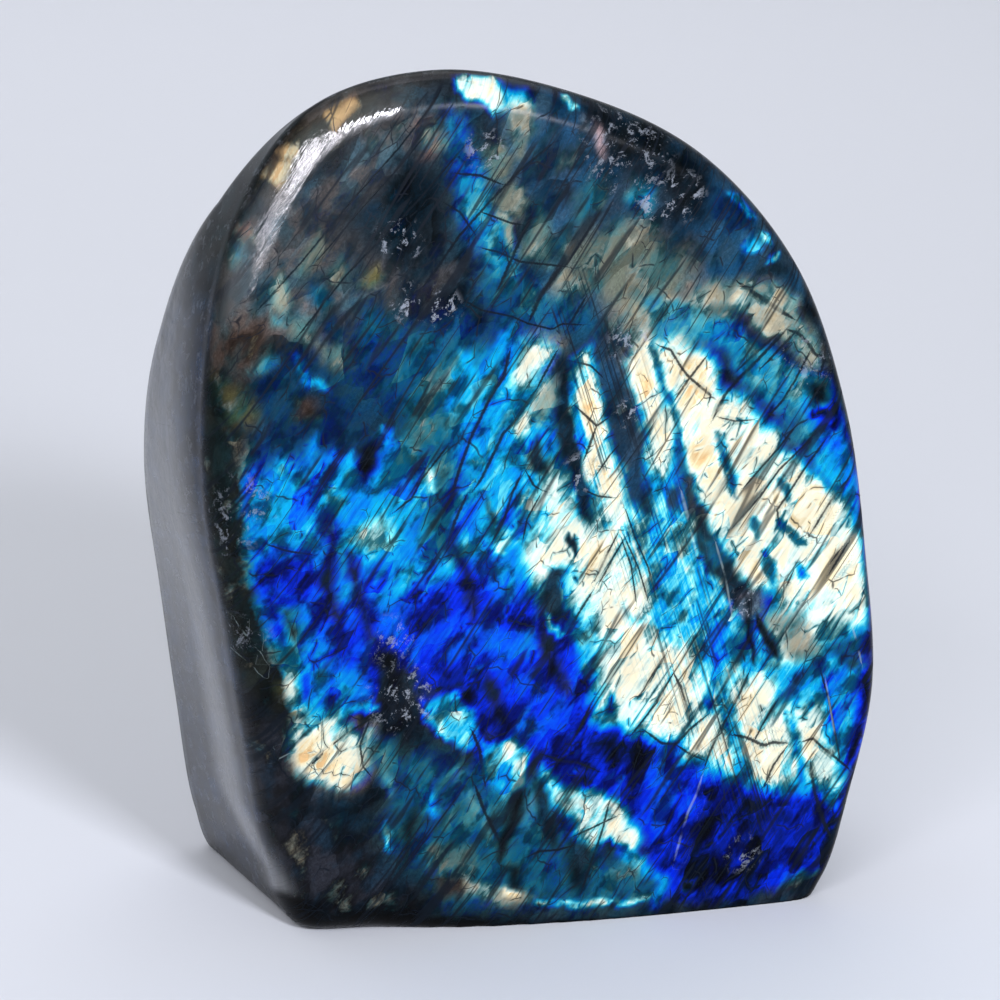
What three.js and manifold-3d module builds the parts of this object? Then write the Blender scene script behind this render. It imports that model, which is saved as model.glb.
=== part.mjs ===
// Polished labradorite freeform: one piece of stone, ground and polished by hand to a rounded slab
// that is thick at the foot and thin at the top, and sawn flat underneath so that it stands alone.
// Millimetres, +Z up, the colourful face looks along -Y and its width runs along X.

import * as THREE from "three";
import { mergeVertices } from "three/addons/utils/BufferGeometryUtils.js";
import Module from "manifold-3d";

// Outline of the colourful face where its rounded edge ends, as [x, z], clockwise from the top.
// The points below z = 0 are under the saw cut.
const OUTLINE = [
  [-12, 171],
  [17, 165],
  [41, 152.5],
  [59.5, 130.5],
  [69.5, 101.5],
  [73.5, 71.5],
  [75, 43.5],
  [70, 21],
  [64.5, 4],
  [57, -4],
  [0, -2.5],
  [-28, 0],
  [-45.5, 1.5],
  [-49.5, 11],
  [-53, 34],
  [-56.5, 60],
  [-60.5, 90],
  [-59.5, 116.5],
  [-52.5, 144],
  [-37, 164.5],
];
const MIDDLE_X = 5;
const MIDDLE_Z = 84;

// The colourful face: how far forward it stands at the foot, its backward lean per mm of height,
// and the radius of its gentle dome.
const FACE_Y = -23.5;
const FACE_LEAN = 0.1;
const FACE_RADIUS = 1100;

// The back is a stronger dome, furthest back at this height.
const BACK_Y = 52;
const BACK_HEIGHT = 35;
const BACK_RADIUS = 270;

// What differs from side to side: width and depth of the rounded front edge, how far the wall
// spreads per mm of depth, and width and depth of the rounded back edge.
const SIDES = {
  left: { edgeWidth: 8.5, edgeDepth: 9, spread: 0.21, backWidth: 16, backDepth: 8 },
  right: { edgeWidth: 3.5, edgeDepth: 5, spread: -0.12, backWidth: 20, backDepth: 12 },
  top: { edgeWidth: 6.5, edgeDepth: 7, spread: -0.6, backWidth: 24, backDepth: 12 },
  foot: { edgeWidth: 5, edgeDepth: 1.5, spread: 0.12, backWidth: 10, backDepth: 6 },
};

// The lower left corner of the face is ground away more than the rest of its edge.
const CORNER_TURN = THREE.MathUtils.degToRad(222);
const CORNER_REACH = THREE.MathUtils.degToRad(40);
const CORNER_EXTRA_WIDTH = 15;
const CORNER_EXTRA_DEPTH = 9.5;

// How finely the surface is divided.
const COLUMNS = 120;
const FACE_STEPS = [0.3, 0.55, 0.78, 1];
const EDGE_STEPS = 6;
const WALL_STEPS = 3;

const STONE = { color: 0x33415c, roughness: 0.12, metalness: 0 };

// A value for an outward direction, mixed from the values of the two sides that it points to.
function towards(normal, key) {
  const across = normal.x < 0 ? SIDES.left[key] : SIDES.right[key];
  const upright = normal.z > 0 ? SIDES.top[key] : SIDES.foot[key];
  return normal.x ** 2 * across + normal.z ** 2 * upright;
}

// Evenly spaced places along the outline, each with its direction out of the outline and the sizes
// of the edges there.
function outlinePlaces() {
  const points = OUTLINE.map(([x, z]) => new THREE.Vector3(x, 0, z));
  const curve = new THREE.CatmullRomCurve3(points, true, "centripetal");
  curve.arcLengthDivisions = 2000;
  const places = [];
  for (let i = 0; i < COLUMNS; i += 1) {
    const { x, z } = curve.getPointAt(i / COLUMNS);
    const along = curve.getTangentAt(i / COLUMNS);
    const normal = { x: -along.z, z: along.x };
    const reach = Math.hypot(x - MIDDLE_X, z - MIDDLE_Z);
    const turn = Math.atan2(z - MIDDLE_Z, x - MIDDLE_X);
    const fromCorner = THREE.MathUtils.euclideanModulo(turn - CORNER_TURN + Math.PI, 2 * Math.PI) - Math.PI;
    const worn = Math.exp(-((fromCorner / CORNER_REACH) ** 2));
    places.push({
      x,
      z,
      normal,
      reach,
      edgeWidth: towards(normal, "edgeWidth") + CORNER_EXTRA_WIDTH * worn,
      edgeDepth: towards(normal, "edgeDepth") + CORNER_EXTRA_DEPTH * worn,
      spread: towards(normal, "spread"),
      backWidth: towards(normal, "backWidth"),
      backDepth: towards(normal, "backDepth"),
    });
  }
  return places;
}

function faceY(x, z) {
  return FACE_Y + FACE_LEAN * z + ((x - MIDDLE_X) ** 2 + (z - MIDDLE_Z) ** 2) / (2 * FACE_RADIUS);
}

function backY(x, z) {
  return BACK_Y - ((x - MIDDLE_X) ** 2 + (z - BACK_HEIGHT) ** 2) / (2 * BACK_RADIUS);
}

// The point of a surface on the way from the middle (share 0) to a place (share 1), moved by an
// extra depth.
function surfacePoint(surfaceY, place, share, extraDepth) {
  const x = MIDDLE_X + (place.x - MIDDLE_X) * share;
  const z = MIDDLE_Z + (place.z - MIDDLE_Z) * share;
  return new THREE.Vector3(x, surfaceY(x, z) + extraDepth, z);
}

// Rings of the colourful face, out to where the rounding of its edge starts.
function faceRings(places) {
  return FACE_STEPS.map((step) =>
    places.map((place) => surfacePoint(faceY, place, step * (1 - place.edgeWidth / place.reach), 0)),
  );
}

// Rings of the rounded front edge, a quarter of an ellipse in section.
function frontEdgeRings(places) {
  const rings = [];
  for (let i = 1; i <= EDGE_STEPS; i += 1) {
    const turn = ((Math.PI / 2) * i) / EDGE_STEPS;
    rings.push(
      places.map((place) => {
        const inner = 1 - place.edgeWidth / place.reach;
        const share = inner + (1 - inner) * Math.sin(turn);
        return surfacePoint(faceY, place, share, place.edgeDepth * (1 - Math.cos(turn)));
      }),
    );
  }
  return rings;
}

// Rings of the side wall, which spreads or narrows on its way back.
function wallRings(places, rim) {
  const rings = [];
  for (let i = 1; i <= WALL_STEPS; i += 1) {
    rings.push(
      places.map((place, column) => {
        const start = rim[column];
        const end = backY(start.x, Math.max(start.z, 0)) - place.backDepth;
        const depth = ((end - start.y) * i) / WALL_STEPS;
        const out = place.spread * depth;
        const x = start.x + place.normal.x * out;
        const z = start.z + place.normal.z * out;
        return new THREE.Vector3(x, start.y + depth, z);
      }),
    );
  }
  return rings;
}

// Rings of the rounded back edge, from the end of the wall to where the back's own dome starts.
function backEdgeRings(places, wallEnd) {
  const rings = [];
  for (let i = 1; i <= EDGE_STEPS; i += 1) {
    const turn = ((Math.PI / 2) * i) / EDGE_STEPS;
    rings.push(
      places.map((place, column) => {
        const end = wallEnd[column];
        const inner = 1 - place.backWidth / Math.hypot(end.x - MIDDLE_X, end.z - MIDDLE_Z);
        const share = inner + (1 - inner) * Math.cos(turn);
        const step = end.y - backY(end.x, end.z);
        return surfacePoint(backY, end, share, step * (1 - Math.sin(turn)));
      }),
    );
  }
  return rings;
}

// Rings of the back's dome, from its edge to near its middle.
function backRings(backRim) {
  const steps = FACE_STEPS.slice(0, -1).reverse();
  return steps.map((step) => backRim.map((rim) => surfacePoint(backY, rim, step, 0)));
}

// The closed surface through the rings, with a point in the middle of the face and of the back.
function closedSurface(frontPoint, rings, backPoint) {
  const corners = [];
  rings.slice(0, -1).forEach((ring, i) => {
    const next = rings[i + 1];
    ring.forEach((point, column) => {
      const beside = (column + 1) % ring.length;
      corners.push(point, ring[beside], next[beside], point, next[beside], next[column]);
    });
  });
  const first = rings[0];
  const last = rings[rings.length - 1];
  first.forEach((point, column) => {
    const beside = (column + 1) % first.length;
    corners.push(frontPoint, first[beside], point);
    corners.push(backPoint, last[column], last[beside]);
  });
  return mergeVertices(new THREE.BufferGeometry().setFromPoints(corners), 1e-5);
}

function uncutStone() {
  const places = outlinePlaces();
  const face = faceRings(places);
  const frontEdge = frontEdgeRings(places);
  const wall = wallRings(places, frontEdge[frontEdge.length - 1]);
  const backEdge = backEdgeRings(places, wall[wall.length - 1]);
  const back = backRings(backEdge[backEdge.length - 1]);
  const middle = { x: MIDDLE_X, z: MIDDLE_Z };
  const frontPoint = surfacePoint(faceY, middle, 0, 0);
  const backPoint = surfacePoint(backY, middle, 0, 0);
  return closedSurface(frontPoint, [...face, ...frontEdge, ...wall, ...backEdge, ...back], backPoint);
}

function toSolid(wasm, geometry) {
  const vertProperties = new Float32Array(geometry.attributes.position.array);
  const triVerts = new Uint32Array(geometry.index.array);
  return new wasm.Manifold(new wasm.Mesh({ numProp: 3, vertProperties, triVerts }));
}

function toGeometry(solid) {
  const mesh = solid.getMesh();
  const geometry = new THREE.BufferGeometry();
  geometry.setAttribute("position", new THREE.BufferAttribute(new Float32Array(mesh.vertProperties), 3));
  geometry.setIndex(new THREE.BufferAttribute(new Uint32Array(mesh.triVerts), 1));
  return geometry;
}

// A block that holds everything above the saw cut at z = 0.
function aboveTheCut() {
  const size = 400;
  const block = new THREE.BoxGeometry(size, size, size);
  block.translate(0, 0, size / 2);
  block.deleteAttribute("normal");
  block.deleteAttribute("uv");
  return mergeVertices(block);
}

// Moves the stone so that its footprint box is centred on the origin.
function centreOnFootprint(geometry) {
  geometry.computeBoundingBox();
  const middle = geometry.boundingBox.getCenter(new THREE.Vector3());
  geometry.translate(-middle.x, -middle.y, 0);
}

const wasm = await Module();
wasm.setup();

const stoneGeometry = toGeometry(toSolid(wasm, uncutStone()).intersect(toSolid(wasm, aboveTheCut())));
centreOnFootprint(stoneGeometry);
stoneGeometry.computeVertexNormals();

const stone = new THREE.Mesh(stoneGeometry, new THREE.MeshStandardMaterial(STONE));
stone.name = "labradorite_freeform";

const part = new THREE.Group();
part.name = "polished_labradorite_freeform";
part.add(stone);

export default part;
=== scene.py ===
# Polished labradorite freeform: the looks of the stone, its studio and its camera. Metres in the
# scene, millimetres in the stone's own shape and in the map of its colours.

import bpy
import numpy as np
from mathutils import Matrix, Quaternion, Vector


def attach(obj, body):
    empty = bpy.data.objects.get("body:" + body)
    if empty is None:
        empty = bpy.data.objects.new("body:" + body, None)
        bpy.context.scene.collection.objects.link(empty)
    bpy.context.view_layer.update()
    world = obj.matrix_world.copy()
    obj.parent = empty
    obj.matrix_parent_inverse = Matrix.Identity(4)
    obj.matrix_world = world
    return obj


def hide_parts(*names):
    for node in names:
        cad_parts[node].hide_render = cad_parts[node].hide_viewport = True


NODE = "labradorite_freeform"
MM = 0.001

# The stone's shape, with the same names and values as the solid.
OUTLINE = [
    (-12, 171), (17, 165), (41, 152.5), (59.5, 130.5), (69.5, 101.5), (73.5, 71.5), (75, 43.5),
    (70, 21), (64.5, 4), (57, -4), (0, -2.5), (-28, 0), (-45.5, 1.5), (-49.5, 11), (-53, 34),
    (-56.5, 60), (-60.5, 90), (-59.5, 116.5), (-52.5, 144), (-37, 164.5),
]
MIDDLE_X, MIDDLE_Z = 5, 84
FACE_Y, FACE_LEAN, FACE_RADIUS = -23.5, 0.1, 1100
BACK_Y, BACK_HEIGHT, BACK_RADIUS = 52, 35, 270
SIDES = {
    "left": {"edge_width": 8.5, "edge_depth": 9, "spread": 0.21, "back_width": 16, "back_depth": 8},
    "right": {"edge_width": 3.5, "edge_depth": 5, "spread": -0.12, "back_width": 20, "back_depth": 12},
    "top": {"edge_width": 6.5, "edge_depth": 7, "spread": -0.6, "back_width": 24, "back_depth": 12},
    "foot": {"edge_width": 5, "edge_depth": 1.5, "spread": 0.12, "back_width": 10, "back_depth": 6},
}
CORNER_TURN, CORNER_REACH = np.radians(222), np.radians(40)
CORNER_EXTRA_WIDTH, CORNER_EXTRA_DEPTH = 15, 9.5

# How finely the surface is divided: columns around it, millimetres between the face's rings, rings of
# an edge and of the wall, and how many times further apart the back's rings are.
COLUMNS = 768
RING_GAP = 0.72
EDGE_RINGS = 12
WALL_RINGS = 14
BACK_GAPS = 4

# Rings within these shares of the face's reach have this many times fewer columns.
FEWER_COLUMNS = [(0.25, 4), (0.5, 2), (np.inf, 1)]

# Where two triangles meet at more than this angle, the edge between them stays sharp.
SHARP_ANGLE = np.radians(35)

# The curve through the outline: how finely its length is measured, and half the step for its direction.
CURVE_STEPS = 8000
DIRECTION_STEP = 0.001


def place_object(name, data):
    """A new object in the scene."""
    made = bpy.data.objects.new(name, data)
    bpy.context.scene.collection.objects.link(made)
    return made


def outline_curve(t):
    """Points of a closed centripetal Catmull-Rom curve through the outline, t counted in points."""
    points = np.array(OUTLINE, float)
    count = len(points)
    whole = np.floor(t).astype(int)
    u = (t - whole)[:, None]
    p0, p1, p2, p3 = (points[(whole + k) % count] for k in (-1, 0, 1, 2))
    spans = ((p0, p1), (p1, p2), (p2, p3))
    d0, d1, d2 = (np.sqrt(np.linalg.norm(b - a, axis=1))[:, None] for a, b in spans)
    start = ((p1 - p0) / d0 - (p2 - p0) / (d0 + d1) + (p2 - p1) / d1) * d1
    end = ((p2 - p1) / d1 - (p3 - p1) / (d1 + d2) + (p3 - p2) / d2) * d1
    return (
        (2 * u**3 - 3 * u**2 + 1) * p1
        + (u**3 - 2 * u**2 + u) * start
        + (3 * u**2 - 2 * u**3) * p2
        + (u**3 - u**2) * end
    )


def outline_places():
    """Evenly spaced places along the outline, with their outward direction and edge sizes."""
    fine_t = np.linspace(0, len(OUTLINE), CURVE_STEPS + 1)
    steps = np.linalg.norm(np.diff(outline_curve(fine_t), axis=0), axis=1)
    length = np.concatenate([[0], np.cumsum(steps)])
    t = np.interp(np.arange(COLUMNS) / COLUMNS * length[-1], length, fine_t)
    x, z = outline_curve(t).T
    along = outline_curve(t + DIRECTION_STEP) - outline_curve(t - DIRECTION_STEP)
    along /= np.linalg.norm(along, axis=1)[:, None]
    out_x, out_z = -along[:, 1], along[:, 0]
    turn = np.arctan2(z - MIDDLE_Z, x - MIDDLE_X)
    from_corner = (turn - CORNER_TURN + np.pi) % (2 * np.pi) - np.pi
    worn = np.exp(-((from_corner / CORNER_REACH) ** 2))

    def towards(key):
        across = np.where(out_x < 0, SIDES["left"][key], SIDES["right"][key])
        upright = np.where(out_z > 0, SIDES["top"][key], SIDES["foot"][key])
        return out_x**2 * across + out_z**2 * upright

    places = {key: towards(key) for key in SIDES["left"]}
    places["edge_width"] += CORNER_EXTRA_WIDTH * worn
    places["edge_depth"] += CORNER_EXTRA_DEPTH * worn
    reach = np.hypot(x - MIDDLE_X, z - MIDDLE_Z)
    return {**places, "x": x, "z": z, "out_x": out_x, "out_z": out_z, "reach": reach}


def face_y(x, z):
    return FACE_Y + FACE_LEAN * z + ((x - MIDDLE_X) ** 2 + (z - MIDDLE_Z) ** 2) / (2 * FACE_RADIUS)


def back_y(x, z):
    return BACK_Y - ((x - MIDDLE_X) ** 2 + (z - BACK_HEIGHT) ** 2) / (2 * BACK_RADIUS)


def surface_ring(surface_y, x, z, share, extra_depth=0.0):
    """A ring of a surface on the way from the middle (share 0) to the places x, z (share 1)."""
    ring_x = MIDDLE_X + (x - MIDDLE_X) * share
    ring_z = MIDDLE_Z + (z - MIDDLE_Z) * share
    return np.stack([ring_x, surface_y(ring_x, ring_z) + extra_depth, ring_z], axis=1)


def edge_turns():
    """The angles of a rounded edge's rings, a quarter turn in all."""
    return np.pi / 2 * np.arange(1, EDGE_RINGS + 1) / EDGE_RINGS


def front_rings(places, face_count):
    """Rings of the colourful face, then of its rounded edge, a quarter of an ellipse in section."""
    x, z = places["x"], places["z"]
    inner = 1 - places["edge_width"] / places["reach"]
    rings = [surface_ring(face_y, x, z, inner * i / face_count) for i in range(1, face_count + 1)]
    for turn in edge_turns():
        share = inner + (1 - inner) * np.sin(turn)
        rings.append(surface_ring(face_y, x, z, share, places["edge_depth"] * (1 - np.cos(turn))))
    return rings


def wall_rings(places, rim):
    """Rings of the side wall, which spreads or narrows on its way back."""
    end = back_y(rim[:, 0], np.maximum(rim[:, 2], 0)) - places["back_depth"]
    rings = []
    for i in range(1, WALL_RINGS + 1):
        depth = (end - rim[:, 1]) * i / WALL_RINGS
        out = places["spread"] * depth
        rings.append(rim + np.stack([places["out_x"] * out, depth, places["out_z"] * out], axis=1))
    return rings


def back_rings(places, wall_end, back_count):
    """Rings of the rounded back edge, then of the back's dome, to near its middle."""
    x, y, z = wall_end.T
    inner = 1 - places["back_width"] / np.hypot(x - MIDDLE_X, z - MIDDLE_Z)
    step = y - back_y(x, z)
    rings = []
    for turn in edge_turns():
        share = inner + (1 - inner) * np.cos(turn)
        rings.append(surface_ring(back_y, x, z, share, step * (1 - np.sin(turn))))
    x, y, z = rings[-1].T
    return rings + [surface_ring(back_y, x, z, 1 - i / back_count) for i in range(1, back_count)]


def stone_rings():
    """The stone's rings from the middle of its face to the middle of its back, and the face's number."""
    places = outline_places()
    face_count = int(places["reach"].mean() / RING_GAP)
    rings = front_rings(places, face_count)
    rings += wall_rings(places, rings[-1])
    rings += back_rings(places, rings[-1], face_count // BACK_GAPS)
    return rings, face_count


def ring_columns(i, face_count):
    """A ring's columns: fewer towards the middle of the face, and half of them on the back."""
    if i >= face_count + EDGE_RINGS + WALL_RINGS:
        return COLUMNS // 2
    return COLUMNS // next(times for share, times in FEWER_COLUMNS if i / face_count <= share)


def fan(middle, start, columns, front):
    """Triangles between a middle vertex and a ring."""
    j = np.arange(columns)
    here, beside = start + j, start + (j + 1) % columns
    third = np.full(columns, middle)
    return np.stack([third, beside, here] if front else [third, here, beside], axis=1)


def strip(start, columns, next_start, next_columns):
    """Triangles between two rings, of which one may have twice the columns of the other."""
    flip = columns > next_columns
    if flip:
        start, columns, next_start, next_columns = next_start, next_columns, start, columns
    j = np.arange(columns)
    a, b = start + j, start + (j + 1) % columns
    if columns == next_columns:
        d, c = next_start + j, next_start + (j + 1) % columns
        corners = [(a, b, c), (a, c, d)]
    else:
        d, m, c = (next_start + (2 * j + k) % next_columns for k in (0, 1, 2))
        corners = [(a, b, m), (a, m, d), (b, c, m)]
    sides = np.concatenate([np.stack(triangle, axis=1) for triangle in corners])
    return sides[:, ::-1] if flip else sides


def stone_surface():
    """Vertices in millimetres and triangles of the whole stone."""
    rings, face_count = stone_rings()
    columns = [ring_columns(i, face_count) for i in range(len(rings))]
    starts = 1 + np.concatenate([[0], np.cumsum(columns)])
    vertices = [[[MIDDLE_X, face_y(MIDDLE_X, MIDDLE_Z), MIDDLE_Z]]]
    vertices += [ring[:: COLUMNS // count] for ring, count in zip(rings, columns)]
    vertices.append([[MIDDLE_X, back_y(MIDDLE_X, MIDDLE_Z), MIDDLE_Z]])
    triangles = [fan(0, starts[0], columns[0], front=True)]
    for i in range(len(rings) - 1):
        triangles.append(strip(starts[i], columns[i], starts[i + 1], columns[i + 1]))
    triangles.append(fan(starts[-1], starts[-2], columns[-1], front=False))
    return np.concatenate(vertices), np.concatenate(triangles)


def make_stone():
    """The stone as an object, its vertices in millimetres and the middle of their box."""
    vertices, triangles = stone_surface()
    vertices[:, 2] = np.maximum(vertices[:, 2], 0)
    middle = (vertices.min(axis=0) + vertices.max(axis=0)) / 2
    placed = (vertices - [middle[0], middle[1], 0]) * MM
    mesh = bpy.data.meshes.new("labradorite_stone")
    mesh.vertices.add(len(placed))
    mesh.vertices.foreach_set("co", placed.astype(np.float32).ravel())
    mesh.loops.add(triangles.size)
    mesh.loops.foreach_set("vertex_index", triangles.astype(np.int32).ravel())
    mesh.polygons.add(len(triangles))
    mesh.polygons.foreach_set("loop_start", np.arange(0, triangles.size, 3, dtype=np.int32))
    mesh.update(calc_edges=True)
    mesh.validate()
    mesh.shade_smooth()
    mesh.set_sharp_from_angle(angle=SHARP_ANGLE)
    return place_object("labradorite_stone", mesh), vertices, middle


# The pattern on the face. Each paint is its place in the flash's order of colours, from black-blue at
# 0 to gold at 1, how far the dark body stone hides the flash there, and the body's own sRGB colour.
PAINTS = {
    "pitch": (0.15, 1, (7, 11, 17)),
    "black": (0.58, 1, (7, 13, 18)),
    "ink": (0.58, 1, (12, 30, 42)),
    "slate": (0.6, 0.9, (25, 42, 58)),
    # The next grey serves as a tone of the stone, and also as a painted sheen just inside the upper left
    # edge's highlight.
    "dusk": (0.6, 0.88, (56, 56, 58)),
    "mauve": (0.6, 0.9, (104, 92, 98)),
    "steel": (0.55, 0.82, (28, 56, 76)),
    "basalt": (0.8, 1, (21, 24, 31)),
    "moss": (0.75, 0.99, (15, 20, 19)),
    "umber": (0.9, 1, (46, 39, 36)),
    "olive": (0.85, 0.85, (58, 58, 38)),
    "teal": (0.56, 0.68, (14, 44, 52)),
    "dim blue": (0.46, 0.82, (10, 34, 52)),
    "dim azure": (0.55, 0.72, (14, 50, 66)),
    "dim cyan": (0.62, 0.6, (44, 74, 78)),
    "ash": (0.82, 0.82, (64, 72, 66)),
    "mist": (0.83, 0.3, (104, 100, 90)),
    "linen": (0.85, 0.68, (84, 84, 74)),
    "amber": (0.97, 0.97, (40, 36, 32)),
    "clay": (0.96, 0.72, (84, 62, 56)),
    "soft azure": (0.6, 0.5, (18, 62, 78)),
    "soft cobalt": (0.57, 0.48, (12, 50, 68)),
    "navy": (0.1, 0, None),
    "deep blue": (0.2, 0, None),
    "royal": (0.3, 0, None),
    "cobalt": (0.43, 0, None),
    "azure": (0.53, 0, None),
    "sky": (0.57, 0, None),
    "cyan": (0.61, 0, None),
    "turquoise": (0.67, 0, None),
    "ice": (0.73, 0, None),
    "white": (0.81, 0, None),
    "cream": (0.855, 0, None),
    "sand": (0.94, 0.05, None),
    "gold": (1, 0.2, (80, 60, 44)),
}

# The flash's colours in that order: their places and their sRGB colours.
FLASH_COLOURS = [
    (0, (2, 8, 22)), (0.1, (2, 16, 56)), (0.2, (2, 24, 128)), (0.3, (2, 38, 204)), (0.4, (2, 80, 208)),
    (0.5, (2, 122, 200)), (0.6, (10, 164, 204)), (0.7, (104, 212, 218)), (0.8, (212, 240, 228)),
    (0.88, (244, 238, 206)), (0.95, (238, 220, 172)), (1, (218, 160, 90)),
]

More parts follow.
